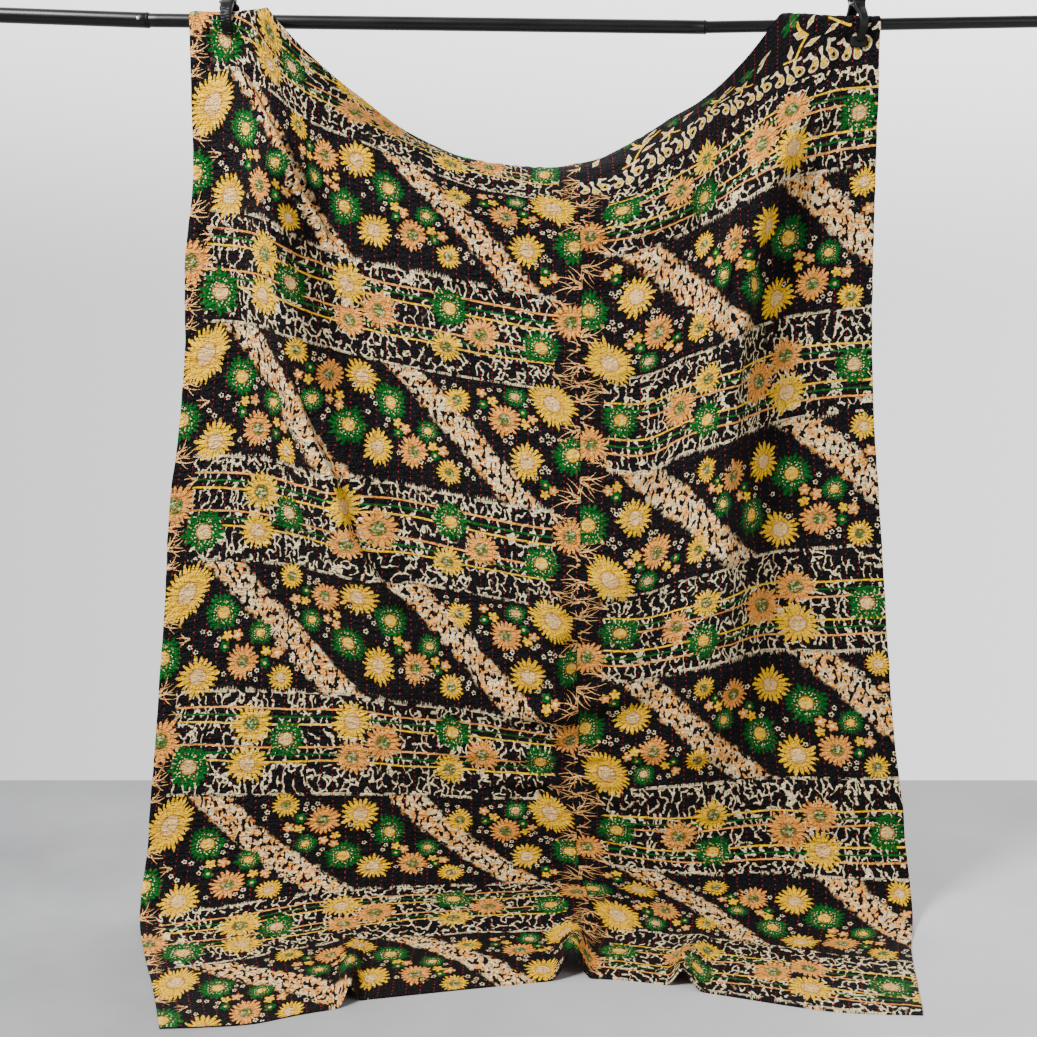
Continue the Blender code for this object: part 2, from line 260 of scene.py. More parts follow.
# how much higher or lower the top hem hangs than that, dying out 0.22 m down
HEM_RISE = {0.13: 0.000, 0.16: -0.016, 0.18: -0.028, 0.20: -0.031, 0.24: -0.023, 0.32: -0.016,
            0.40: -0.022, 0.50: -0.040, 0.58: -0.037, 0.66: -0.024, 0.74: 0.000, 0.82: 0.024,
            0.90: 0.038, 0.98: 0.049, 1.04: 0.040, 1.12: 0.010, 1.20: -0.017, 1.25: -0.026,
            1.31: -0.018, 1.36: 0.000}
# pipe folds down from the clamps: ridge (drop: across), half width, how far it stands forward
PULLS = (({0.03: 0.10, 0.55: 0.24, 1.30: 0.50}, 0.15, 0.085),
         ({0.03: 1.38, 0.45: 1.19, 1.45: 1.12}, 0.15, 0.080))
# tunnels in the hem: across, half width, height, width taken up, drop where it starts
TUNNELS = ((0.385, 0.060, 0.034, 0.000, 1.80), (0.835, 0.072, 0.056, 0.062, 1.82),
           (1.085, 0.055, 0.034, 0.040, 1.84))


def curve(table, at, column=None):
    """A smooth curve through a table's rows: cubic pieces whose slopes come from neighbours."""
    xs = np.array(list(table))
    ys = np.array([row if column is None else row[column] for row in table.values()])
    slope = np.gradient(ys, xs)
    at = np.clip(at, xs[0], xs[-1])
    i = np.clip(np.searchsorted(xs, at) - 1, 0, len(xs) - 2)
    h = xs[i + 1] - xs[i]
    u = (at - xs[i]) / h
    return ((1 + 2 * u) * (1 - u) ** 2 * ys[i] + u * (1 - u) ** 2 * h * slope[i]
            + u * u * (3 - 2 * u) * ys[i + 1] + u * u * (u - 1) * h * slope[i + 1])


def ease(low, high, at):
    """0 below low, 1 above high, 3u^2 - 2u^3 between."""
    u = np.clip((at - low) / (high - low), 0.0, 1.0)
    return u * u * (3 - 2 * u)


def hump(centre, half, at):
    """A raised cosine, 1 at the centre and 0 from half away."""
    return 0.5 + 0.5 * np.cos(np.pi * np.clip((at - centre) / half, -1.0, 1.0))


def ripple(s, v, across, down, seed):
    """Smooth random heights, -1 to 1: a lattice of set random numbers, eased between."""
    lattice = np.random.default_rng(seed).uniform(-1, 1, (260, 260))
    a, b = s / across + 40.0, v / down + 40.0
    i, j = np.floor(a).astype(int), np.floor(b).astype(int)
    fa, fb = ease(0, 1, a - i), ease(0, 1, b - j)
    i, j = i % 259, j % 259
    return ((lattice[i, j] * (1 - fa) + lattice[i + 1, j] * fa) * (1 - fb)
            + (lattice[i, j + 1] * (1 - fa) + lattice[i + 1, j + 1] * fa) * fb)


def drop_of(s, v):
    """How far down the print a point is: the top hem is taken further over at the right."""
    return v - (OVER_LEFT + (OVER_RIGHT - OVER_LEFT) * s / QUILT_WIDTH)


def drape(s, v):
    """The hanging cloth's middle surface.

    Across: flat distance plus a shift that eases from the left edge's to the middle's to the
    right edge's.  Height: top less drop less sag.  Depth: lean of the middle less each pipe
    fold's raised cosine.  Above the rod's axis the cloth turns about the rod; below the bend's
    radius it turns forward onto the floor; the tunnels add raised cosines to the height.
    """
    t = drop_of(s, v)
    left = curve(SECTIONS, t, 0) + MIDDLE_AT
    right = curve(SECTIONS, t, 1) - (QUILT_WIDTH - MIDDLE_AT)
    low = ease(1.65, 2.0, t)
    middle = -0.105 - 0.035 * np.clip((s - 0.42) / 0.44, 0, 1) * (1 - low)
    for at, half, high, takes, start in TUNNELS:
        middle = middle - takes * ease(start, 2.2, t) * ease(at - half, at + half, s)
    lying = 0.35 * ease(0.00, 0.33, s) + 0.65 * ease(0.31, 0.46, s)
    to_middle = ease(0.05, 0.42, s) * (1 - low) + lying * low
    to_right = ease(0.96, 1.34, s)
    x = s - MIDDLE_AT + (left * (1 - to_middle) + middle * to_middle) * (1 - to_right) + right * to_right
    height = HANG_TOP - t - curve(SECTIONS, t, 2) * curve(SWAG, s)
    height = height + curve(HEM_RISE, s) * (1 - ease(0.02, 0.22, v))
    y = curve(SECTIONS, t, 3) * hump(0.85, 0.55, s)
    for ridge, half, deep in PULLS:
        drops = list(ridge)
        grown = ease(drops[0] + 0.09, drops[0] + 0.32, t) * (1 - ease(drops[2] - 0.45, drops[2] + 0.25, t))
        y = y - deep * grown * hump(np.interp(t, drops, list(ridge.values())), half, s)
    axis_z = np.interp(x, *zip(*ROD_Z))
    loose = ease(LEAVES_LEFT - 0.13, LEAVES_LEFT, s) * (1 - ease(LEAVES_RIGHT, LEAVES_RIGHT + 0.20, s))
    radius = np.where(x < 0, WRAP_LEFT, WRAP_RIGHT) + LIFT_OFF * loose
    above = np.clip(height - axis_z, 0, None)
    turn = np.minimum(above / radius, np.pi)
    spare = np.clip(above - np.pi * radius, 0, None)
    y = np.where(above > 0, -radius * np.cos(turn) + y, -radius + y)
    z = np.where(above > 0, axis_z + radius * np.sin(turn) - spare, height)
    for at, closed in NIPS:
        below = axis_z - z
        nip = ease(0.008, closed, below) * (1 - ease(0.05, 0.11, below))
        nip = nip * (1 - ease(0.020, 0.055, np.abs(s - at)))
        y = np.where(np.abs(y) < 0.05, y * (1 - nip * (1 - NIP_HALF / radius)), y)
    past = FLOOR_BEND - (height - FLOOR_LIFT)
    bend = np.clip(past / FLOOR_BEND, 0, np.pi / 2)
    flat = np.clip(past - FLOOR_BEND * np.pi / 2, 0, None)
    y = np.where(past > 0, y - FLOOR_BEND * (1 - np.cos(bend)) - flat, y)
    z = np.where(past > 0, FLOOR_LIFT + FLOOR_BEND * (1 - np.sin(bend)), z)
    for at, half, high, takes, start in TUNNELS:
        z = z + high * ease(start, 2.2, t) * hump(at, half, s)
    return np.stack([x, y + ROD_Y, z], -1)


# creases in the flanks of the pipe folds: path (drop: across), height, half width
CREASES = (({0.07: 0.050, 0.107: 0.072, 0.245: 0.200, 0.314: 0.275, 0.394: 0.370, 0.44: 0.43}, 0.011, 0.020),
           ({0.60: 0.215, 0.68: 0.257, 0.757: 0.312, 0.845: 0.368, 0.956: 0.402, 1.018: 0.440, 1.068: 0.474,
             1.16: 0.53}, 0.0120, 0.021),
           ({0.16: 1.36, 0.30: 1.265, 0.46: 1.215, 0.70: 1.17, 0.90: 1.15}, -0.0065, 0.020),
           ({0.18: 0.85, 0.26: 0.86, 0.40: 0.885, 0.52: 0.91}, 0.0075, 0.034),
           ({1.04: 0.83, 1.14: 0.83, 1.26: 0.835, 1.34: 0.86, 1.44: 0.88}, 0.0110, 0.044))
STITCH_ROW = 0.024          # between the upright rows of running stitch
STITCH_STEP = 0.0115


def crease(s, t):
    """Step-like creases: beside each path the cloth stands up on the left and sinks on the
    right by u times exp((1 - u^2) / 2), where u is the distance over the half width."""
    step = np.zeros(np.broadcast(s, t).shape)
    for path, high, half in CREASES:
        drops = np.array(list(path))
        u = (s - np.interp(t, drops, list(path.values()))) / half
        fade = ease(drops[0], drops[1] + 0.04, t) * (1 - ease(drops[-2] - 0.04, drops[-1], t))
        step = step + high * fade * u * np.exp((1 - u * u) / 2)
    return step


def relief(s, v):
    """Height of the surface over the drape: puckers between the stitch rows and creases.

    The rows lie in shallow valleys; between them the cloth gathers into short level ripples.
    Over the middle the slack of the swag makes longer level creases.
    """
    t = drop_of(s, v)
    row = np.abs((s / STITCH_ROW) % 1.0 - 0.5) * 2          # 1 on a row, 0 between rows
    off_hem = ease(0.0, 0.02, v) * ease(0.0, 0.02, QUILT_LENGTH - v)
    clear = 0.15 + 0.85 * ease(0.17, 0.26, v) * (1 - 0.35 * ease(1.75, 1.9, v))
    pucker = 0.0013 * ripple(s, v, 0.012, 0.013, 3) * (1 - 0.4 * row) - 0.0010 * row ** 3
    wave = 0.0024 * ripple(s, v, 0.045, 0.024, 5) + 0.0034 * ripple(s, v, 0.13, 0.045, 7)
    middle = hump(0.78, 0.62, s) * ease(0.12, 0.30, t) * (1 - ease(1.45, 1.70, t))
    slack = (0.0055 * ripple(s, v, 0.16, 0.034, 11) + 0.0022 * ripple(s, v, 0.06, 0.016, 13)) * middle
    return (pucker + wave * clear + slack) * off_hem - crease(s, t)


# where the quilting has drawn the print in unevenly: centre and half width across, centre and
# half height down, and how far the print has moved across and down there
DRAWN_IN = ((0.30, 0.32, 0.22, 0.28, 0.006, 0.014), (0.30, 0.24, 0.66, 0.30, 0.018, -0.010),
            (0.40, 0.50, 1.15, 0.62, 0.004, -0.026), (0.42, 0.26, 1.74, 0.30, -0.018, 0.000),
            (0.42, 0.62, 2.06, 0.34, 0.006, -0.086), (0.98, 0.12, 0.80, 0.62, -0.004, 0.018),
            (1.18, 0.24, 1.18, 0.58, -0.028, -0.028), (1.43, 0.20, 0.48, 0.30, 0.000, 0.014),
            (1.30, 0.36, 2.00, 0.34, -0.020, -0.036), (0.34, 0.52, 1.80, 0.22, 0.000, -0.044),
            (1.02, 0.26, 1.68, 0.24, 0.000, 0.034), (0.23, 0.17, 0.05, 0.20, -0.012, 0.016),
            (0.10, 0.07, 0.09, 0.10, -0.012, 0.000), (0.66, 0.28, 0.10, 0.20, 0.004, 0.066),
            (0.91, 0.10, 0.10, 0.14, 0.000, 0.040), (1.15, 0.11, 0.055, 0.10, 0.000, -0.050),
            (1.35, 0.07, 0.09, 0.12, 0.000, 0.014), (1.50, 0.07, 0.06, 0.11, 0.000, -0.018),
            (0.47, 0.20, -0.02, 0.14, 0.000, -0.038), (0.78, 0.22, -0.05, 0.14, 0.000, -0.041),
            (0.43, 0.20, 0.02, 0.16, 0.028, 0.000), (0.68, 0.18, 0.10, 0.12, 0.014, 0.000),
            (0.79, 0.14, 0.12, 0.10, 0.000, 0.026), (0.64, 0.12, 0.13, 0.10, 0.000, 0.016))


def print_shift(s, t):
    """The print's move across and down: a sum of raised cosines in both directions."""
    across, down = np.zeros(s.shape), np.zeros(s.shape)
    for s0, half_s, t0, half_t, move_s, move_t in DRAWN_IN:
        share = hump(s0, half_s, s) * hump(t0, half_t, t)
        across, down = across + move_s * share, down + move_t * share
    return across, down


# The print, charted in metres: across from the left selvage and down from the foot of the
# ragged band, one repeat 0.463 m long; and where the chart starts down each panel.
REPEAT = 0.463
LEFT_PRINT_AT, RIGHT_PRINT_AT = 0.145, 0.565
YELLOW, GREEN, PEACH = paint(255, 200, 0), paint(0, 92, 26), paint(244, 164, 72)
PINK, CREAM, LEAF = paint(242, 196, 120), paint(244, 224, 176), paint(0, 96, 34)
BROWN, GROUND = paint(150, 84, 18), paint(6, 5, 7)
# name: petals, heart, number of petals, heart's size, how deep the petals are cut, dots
KINDS = {
    "yg": (YELLOW, LEAF, 19, 0.35, 0.46, 0.0), "yp": (YELLOW, PINK, 19, 0.37, 0.46, 0.0),
    "pg": (PEACH, LEAF, 19, 0.35, 0.42, 0.0), "gy": (GREEN, YELLOW, 23, 0.32, 0.30, 1.0),
    "gp": (GREEN, PINK, 19, 0.34, 0.30, 1.0), "sun": (YELLOW, PINK, 31, 0.36, 0.32, 0.0),
    "y5": (YELLOW, PEACH, 5, 0.25, 0.55, 0.0), "p5": (PEACH, CREAM, 5, 0.25, 0.50, 0.0),
    "g5": (GREEN, PINK, 5, 0.26, 0.40, 0.0), "ring": (CREAM, GROUND, 5, 0.42, 0.50, 0.0),
    "leafy": (GREEN, GROUND, 5, 0.08, 0.66, 0.0)}
# kind, across, down, radius, stretch, turn
BLOOMS = (
    ("sun", 0.041, 0.060, 0.042, 1.60, 0.50), ("gy", 0.116, 0.100, 0.040, 1.0, 0.1),
    ("gy", 0.196, 0.140, 0.027, 1.0, 0.0), ("gy", 0.004, 0.186, 0.040, 1.1, 0.0),
    ("yp", 0.073, 0.226, 0.041, 1.12, 0.5), ("pg", 0.162, 0.197, 0.036, 1.05, 0.0),
    ("yp", 0.241, 0.226, 0.028, 1.0, 0.0), ("yg", 0.261, 0.020, 0.028, 1.0, 0.0),
    ("pg", 0.335, 0.055, 0.036, 1.0, 0.0), ("yp", 0.407, 0.042, 0.040, 1.05, 0.0),
    ("gy", 0.304, 0.110, 0.026, 1.0, 0.0), ("gy", 0.381, 0.149, 0.040, 1.05, -0.1),
    ("gy", 0.471, 0.087, 0.036, 1.25, -0.2), ("yp", 0.442, 0.185, 0.038, 1.05, -0.2),
    ("gy", 0.550, 0.133, 0.025, 1.0, 0.0), ("pg", 0.522, 0.180, 0.034, 1.05, -0.3),
    ("yg", 0.595, 0.210, 0.027, 1.0, 0.0), ("yg", 0.613, 0.055, 0.029, 1.1, 0.0),
    ("pg", 0.709, 0.085, 0.036, 1.1, -0.2), ("gp", 0.7295, 0.028, 0.026, 1.0, 0.0),
    ("sun", 0.804, 0.034, 0.044, 1.42, -0.55), ("yp", 0.753, 0.164, 0.039, 1.05, -0.2),
    ("gy", 0.845, 0.143, 0.042, 1.0, 0.0),
    ("pg", 0.010, 0.351, 0.042, 1.15, 0.0), ("yg", 0.187, 0.318, 0.043, 1.0, 0.0),
    ("gp", 0.255, 0.347, 0.040, 1.0, 0.0), ("gp", 0.069, 0.404, 0.044, 1.05, 0.3),
    ("yp", 0.183, 0.397, 0.041, 1.0, 0.0), ("yp", 0.385, 0.308, 0.042, 1.05, 0.0),
    ("pg", 0.385, 0.382, 0.038, 1.0, 0.0), ("pg", 0.449, 0.346, 0.042, 1.05, 0.0),
    ("gy", 0.596, 0.309, 0.040, 1.0, 0.0), ("pg", 0.660, 0.351, 0.039, 1.0, 0.0),
    ("yg", 0.590, 0.393, 0.036, 1.0, 0.0), ("gy", 0.782, 0.358, 0.040, 1.0, 0.0),
    ("pg", 0.840, 0.300, 0.038, 1.0, 0.0),
    ("y5", 0.127, 0.146, 0.012, 1.0, 0.2), ("p5", 0.149, 0.143, 0.013, 1.0, 0.0),
    ("g5", 0.124, 0.167, 0.012, 1.0, 0.4), ("y5", 0.208, 0.176, 0.012, 1.0, 0.3),
    ("p5", 0.231, 0.179, 0.013, 1.0, 0.0), ("g5", 0.207, 0.199, 0.012, 1.0, 0.1),
    ("g5", 0.292, 0.049, 0.012, 1.0, 0.0), ("p5", 0.269, 0.069, 0.013, 1.0, 0.5),
    ("y5", 0.290, 0.072, 0.011, 1.0, 0.0), ("y5", 0.361, 0.092, 0.011, 1.0, 0.2),
    ("p5", 0.339, 0.104, 0.012, 1.0, 0.0), ("p5", 0.360, 0.113, 0.012, 1.0, 0.4),
    ("y5", 0.486, 0.127, 0.012, 1.0, 0.0), ("p5", 0.503, 0.136, 0.012, 1.0, 0.3),
    ("g5", 0.488, 0.147, 0.011, 1.0, 0.0), ("y5", 0.561, 0.164, 0.012, 1.0, 0.2),
    ("p5", 0.582, 0.170, 0.012, 1.0, 0.0), ("g5", 0.566, 0.181, 0.011, 1.0, 0.3),
    ("p5", 0.662, 0.030, 0.012, 1.0, 0.1), ("y5", 0.684, 0.046, 0.012, 1.0, 0.0),
    ("g5", 0.665, 0.056, 0.011, 1.0, 0.3), ("g5", 0.745, 0.064, 0.012, 1.0, 0.0),
    ("y5", 0.751, 0.088, 0.012, 1.0, 0.4), ("p5", 0.764, 0.076, 0.012, 1.0, 0.0),
    ("g5", 0.790, 0.203, 0.012, 1.0, 0.0), ("y5", 0.789, 0.223, 0.012, 1.0, 0.2),
    ("p5", 0.806, 0.213, 0.012, 1.0, 0.0))
# tiny ring flowers between them: across, down
RINGS = (
    (0.219, 0.021), (0.227, 0.034), (0.222, 0.046), (0.302, 0.018), (0.322, 0.018),
    (0.300, 0.030), (0.314, 0.027), (0.266, 0.086), (0.272, 0.100), (0.339, 0.127),
    (0.332, 0.140), (0.152, 0.103), (0.164, 0.108), (0.147, 0.118), (0.076, 0.137),
    (0.090, 0.141), (0.111, 0.152), (0.106, 0.164), (0.054, 0.167), (0.066, 0.177),
    (0.231, 0.161), (0.262, 0.192), (0.278, 0.194), (0.273, 0.208), (0.287, 0.213),
    (0.124, 0.222), (0.178, 0.222), (0.192, 0.214), (0.190, 0.231), (0.585, 0.018),
    (0.607, 0.022), (0.586, 0.032), (0.678, 0.020), (0.697, 0.017), (0.657, 0.075),
    (0.652, 0.086), (0.668, 0.087), (0.757, 0.034), (0.750, 0.046), (0.722, 0.118),
    (0.709, 0.127), (0.720, 0.130), (0.763, 0.100), (0.772, 0.094), (0.783, 0.115),
    (0.795, 0.107), (0.806, 0.112), (0.798, 0.121), (0.783, 0.178), (0.790, 0.170),
    (0.797, 0.177), (0.772, 0.192), (0.617, 0.190), (0.633, 0.197), (0.630, 0.206),
    (0.644, 0.212), (0.537, 0.198), (0.556, 0.190), (0.465, 0.124), (0.460, 0.137),
    (0.574, 0.146), (0.428, 0.083), (0.436, 0.096), (0.420, 0.115), (0.490, 0.188),
    (0.390, 0.065))
RING_RADIUS = 0.0056
# tufts of grass along both selvages: root across, root down, heading in degrees (0 across,
# 90 down), number of blades, their length, spread in degrees
TUFTS = (
    (-0.004, 0.012, -28, 4, 0.036, 50), (-0.004, 0.118, -20, 5, 0.046, 64),
    (0.052, 0.150, 160, 3, 0.026, 50), (-0.004, 0.262, -30, 5, 0.048, 70),
    (0.046, 0.300, 150, 3, 0.026, 60), (-0.004, 0.398, -8, 4, 0.040, 60),
    (-0.004, 0.436, -30, 5, 0.044, 64), (0.862, 0.028, 196, 3, 0.034, 46),
    (0.868, 0.090, 158, 5, 0.060, 62), (0.816, 0.112, 20, 3, 0.040, 40),
    (0.868, 0.232, 200, 5, 0.066, 66), (0.802, 0.258, 32, 4, 0.046, 54),
    (0.866, 0.352, 176, 3, 0.040, 60), (0.866, 0.392, 150, 5, 0.054, 66),
    (0.806, 0.420, 24, 4, 0.042, 56), (0.868, 0.446, 190, 4, 0.050, 50))
BLADE_LENGTHS = (1.0, 0.72, 0.92, 0.66, 0.85)
BLADE_FOOT, SIDE_BLADE_FOOT, BLADE_TIP = 0.0019, 0.0013, 0.0003
# the border of the right panel, measured from the seam and from the top: a row of paisleys in
# mirrored pairs with a tooth between, one pair every 0.0635 m from 0.0225, and a leafy vine
# above it.  from (across, down), to (across, down), bend, radius at each end
PAISLEY_FIRST, PAISLEY_EVERY, VINE_EVERY = 0.0225, 0.0635, 0.190
PAISLEY = (
    ((0.0074, 0.1150), (0.0025, 0.0960), 0.0, 0.0080, 0.0016),
    ((0.0018, 0.0940), (-0.0008, 0.0800), 0.0, 0.0016, 0.0038),
    ((0.0240, 0.1050), (0.0130, 0.0900), 0.0022, 0.0096, 0.0036),
    ((0.0118, 0.0880), (0.0140, 0.0720), 0.0020, 0.0032, 0.0026),
    ((0.0148, 0.0705), (0.0250, 0.0745), 0.0030, 0.0026, 0.0030),
    ((-0.0138, 0.1110), (-0.0112, 0.0950), 0.0022, 0.0088, 0.0040),
    ((-0.0112, 0.0930), (-0.0196, 0.0790), -0.0030, 0.0034, 0.0026),
    ((-0.0208, 0.0785), (-0.0304, 0.0850), -0.0026, 0.0026, 0.0030))
VINE = (
    ((0.462, 0.0683), (0.484, 0.0710), 0.001, 0.0022, 0.0022),
    ((0.484, 0.0710), (0.504, 0.0400), -0.003, 0.0022, 0.0024),
    ((0.504, 0.0400), (0.484, 0.0007), -0.004, 0.0024, 0.0022),
    ((0.545, 0.0300), (0.584, 0.0587), 0.002, 0.0024, 0.0022),
    ((0.366, 0.0700), (0.367, 0.0480), 0.003, 0.0022, 0.0020),
    ((0.312, 0.0300), (0.350, 0.0120), 0.003, 0.0022, 0.0020))
# its leaves: foot (across, down), tip (across, down), half width
LEAVES = (
    ((0.499, 0.0402), (0.478, 0.0180), 0.0064), ((0.500, 0.0575), (0.528, 0.0570), 0.0056),
    ((0.473, 0.0670), (0.474, 0.0380), 0.0056), ((0.503, 0.0280), (0.519, 0.0080), 0.0054),
    ((0.410, 0.0080), (0.434, 0.0000), 0.0062), ((0.406, 0.0300), (0.420, 0.0120), 0.0056),
    ((0.562, 0.0480), (0.537, 0.0580), 0.0054), ((0.366, 0.0500), (0.355, 0.0280), 0.0056),
    ((0.368, 0.0500), (0.382, 0.0300), 0.0056), ((0.324, 0.0120), (0.344, -0.0060), 0.0058),
    ((0.330, 0.0300), (0.306, 0.0400), 0.0054))
BORDER_FOOT = 0.133
# how far past its own radius a flower is drawn, and how far from its edge a stroke is
BLOOM_REACH = 1.12
STROKE_REACH = 0.0050


def panel_marks(bordered):
    """Every flower and every stroke of one panel, as two arrays of rows on the chart.

    A flower: across, down, radius, stretch, turn, kind.  A stroke: from across and down, to
    across and down, bend, radius at each end, hue (0 peach grass, 1 cream, 2 yellow stem).
    """
    kinds = list(KINDS)
    one = [(a, d, r, k, turn, kinds.index(name)) for name, a, d, r, k, turn in BLOOMS]
    one += [(a, d, RING_RADIUS, 1.0, 9.0 * a, kinds.index("ring")) for a, d in RINGS]
    blades = []
    for a, d, heading, number, length, spread in TUFTS:
        for n in range(number):
            way = math.radians(heading + spread * (n / (number - 1) - 0.5))
            far = length * BLADE_LENGTHS[n]
            blades.append((a, d, a + far * math.cos(way), d + far * math.sin(way), 0.10 * far * (-1) ** n,
                           BLADE_FOOT, BLADE_TIP, 0))
            swing = 0.44 * (-1) ** n
            blades.append((a + 0.36 * far * math.cos(way), d + 0.36 * far * math.sin(way),
                           a + 0.84 * far * math.cos(way + swing), d + 0.84 * far * math.sin(way + swing),
                           0.05 * far, SIDE_BLADE_FOOT, BLADE_TIP, 0))
    blooms, strokes = np.array(one), np.array(blades)
    turns = np.arange(-5, 6)
    blooms = np.tile(blooms, (len(turns), 1))
    blooms[:, 1] += np.repeat(turns * REPEAT, len(one))
    strokes = np.tile(strokes, (len(turns), 1))
    strokes[:, [1, 3]] += np.repeat(turns * REPEAT, len(blades))[:, None]
    if bordered:
        foot = RIGHT_PRINT_AT - BORDER_FOOT
        blooms = blooms[blooms[:, 1] + 0.6 * blooms[:, 2] < foot]
        strokes = strokes[strokes[:, 1] < foot]
        row = [(PAISLEY_FIRST + n * PAISLEY_EVERY, *piece, 1) for n in range(-1, 11) for piece in PAISLEY]
        row += [(n * VINE_EVERY, *piece, 2) for n in (-2, -1, 0) for piece in VINE]
        for n in (-2, -1, 0):
            for (a0, d0), (a1, d1), half in LEAVES:
                belly = ((0.58 * a0 + 0.42 * a1), (0.58 * d0 + 0.42 * d1))
                row += [(n * VINE_EVERY, belly, (a1, d1), 0.0, half, 0.0006, 1),
                        (n * VINE_EVERY, belly, (a0, d0), 0.0, half, 0.0012, 1)]
        row = [(SEAM_AT - shift - a0, RIGHT_PRINT_AT - d0, SEAM_AT - shift - a1, RIGHT_PRINT_AT - d1,
                bend, r0, r1, hue)
               for shift, (a0, d0), (a1, d1), bend, r0, r1, hue in row]
        strokes = np.concatenate([strokes, np.array(row)])
        green = [(SEAM_AT - a - n * VINE_EVERY, RIGHT_PRINT_AT - d, 0.021, 1.0, 0.4 + n, kinds.index("leafy"))
                 for n in (-2, -1, 0) for a, d in ((0.382, 0.0067), (0.473, -0.010))]
        blooms = np.concatenate([blooms, np.array(green)])
    return blooms, strokes


def nearest_bloom(across, down, blooms):
    """For each face, the flower that it lies in: the least distance over radius."""
    best, which = np.full(across.shape, BLOOM_REACH), np.zeros(across.shape, int)
    for n, (a, d, radius, stretch, turn, kind) in enumerate(blooms):
        near = np.flatnonzero((np.abs(down - d) < radius * stretch + 0.006)
                              & (np.abs(across - a) < radius * stretch + 0.006))
        dx, dy = across[near] - a, down[near] - d
        far = np.hypot(dx * math.cos(turn) + dy * math.sin(turn),
                       (-dx * math.sin(turn) + dy * math.cos(turn)) / stretch) / radius - 0.0045 / radius
        hit = near[far < best[near]]
        best[hit], which[hit] = far[far < best[near]], n
    return best < BLOOM_REACH, which


def stroke_place(across, down, rows):
    """Place along and beside a stroke: turned to its direction, less its bend's parabola."""
    dx, dy = rows[..., 2] - rows[..., 0], rows[..., 3] - rows[..., 1]
    length = np.hypot(dx, dy)
    px, py = across - rows[..., 0], down - rows[..., 1]
    along = (px * dx + py * dy) / length
    u = np.clip(along / length, 0, 1)
    return along, (py * dx - px * dy) / length - rows[..., 4] * 4 * u * (1 - u), length


def nearest_strokes(across, down, strokes):
    """For each face, its two nearest strokes and how far it is from each one's edge."""
    gap = np.full((2,) + across.shape, STROKE_REACH)
    which = np.zeros((2,) + across.shape, int)
    for n, row in enumerate(strokes):
        reach = 0.006 + max(row[5], row[6]) + abs(row[4])
        (left, right), (top, foot) = sorted(row[[0, 2]]), sorted(row[[1, 3]])
        near = np.flatnonzero((down > top - reach) & (down < foot + reach)
                              & (across > left - reach) & (across < right + reach))
        along, beside, length = stroke_place(across[near], down[near], row)
        u = np.clip(along / length, 0, 1)
        far = np.hypot(along - u * length, beside) - (row[5] + (row[6] - row[5]) * u)
        first = far < gap[0, near]
        second = ~first & (far < gap[1, near])
        at = near[first]
        gap[1, at], which[1, at] = gap[0, at], which[0, at]
        gap[0, at], which[0, at] = far[first], n
        at = near[second]
        gap[1, at], which[1, at] = far[second], n
    return gap < STROKE_REACH, which


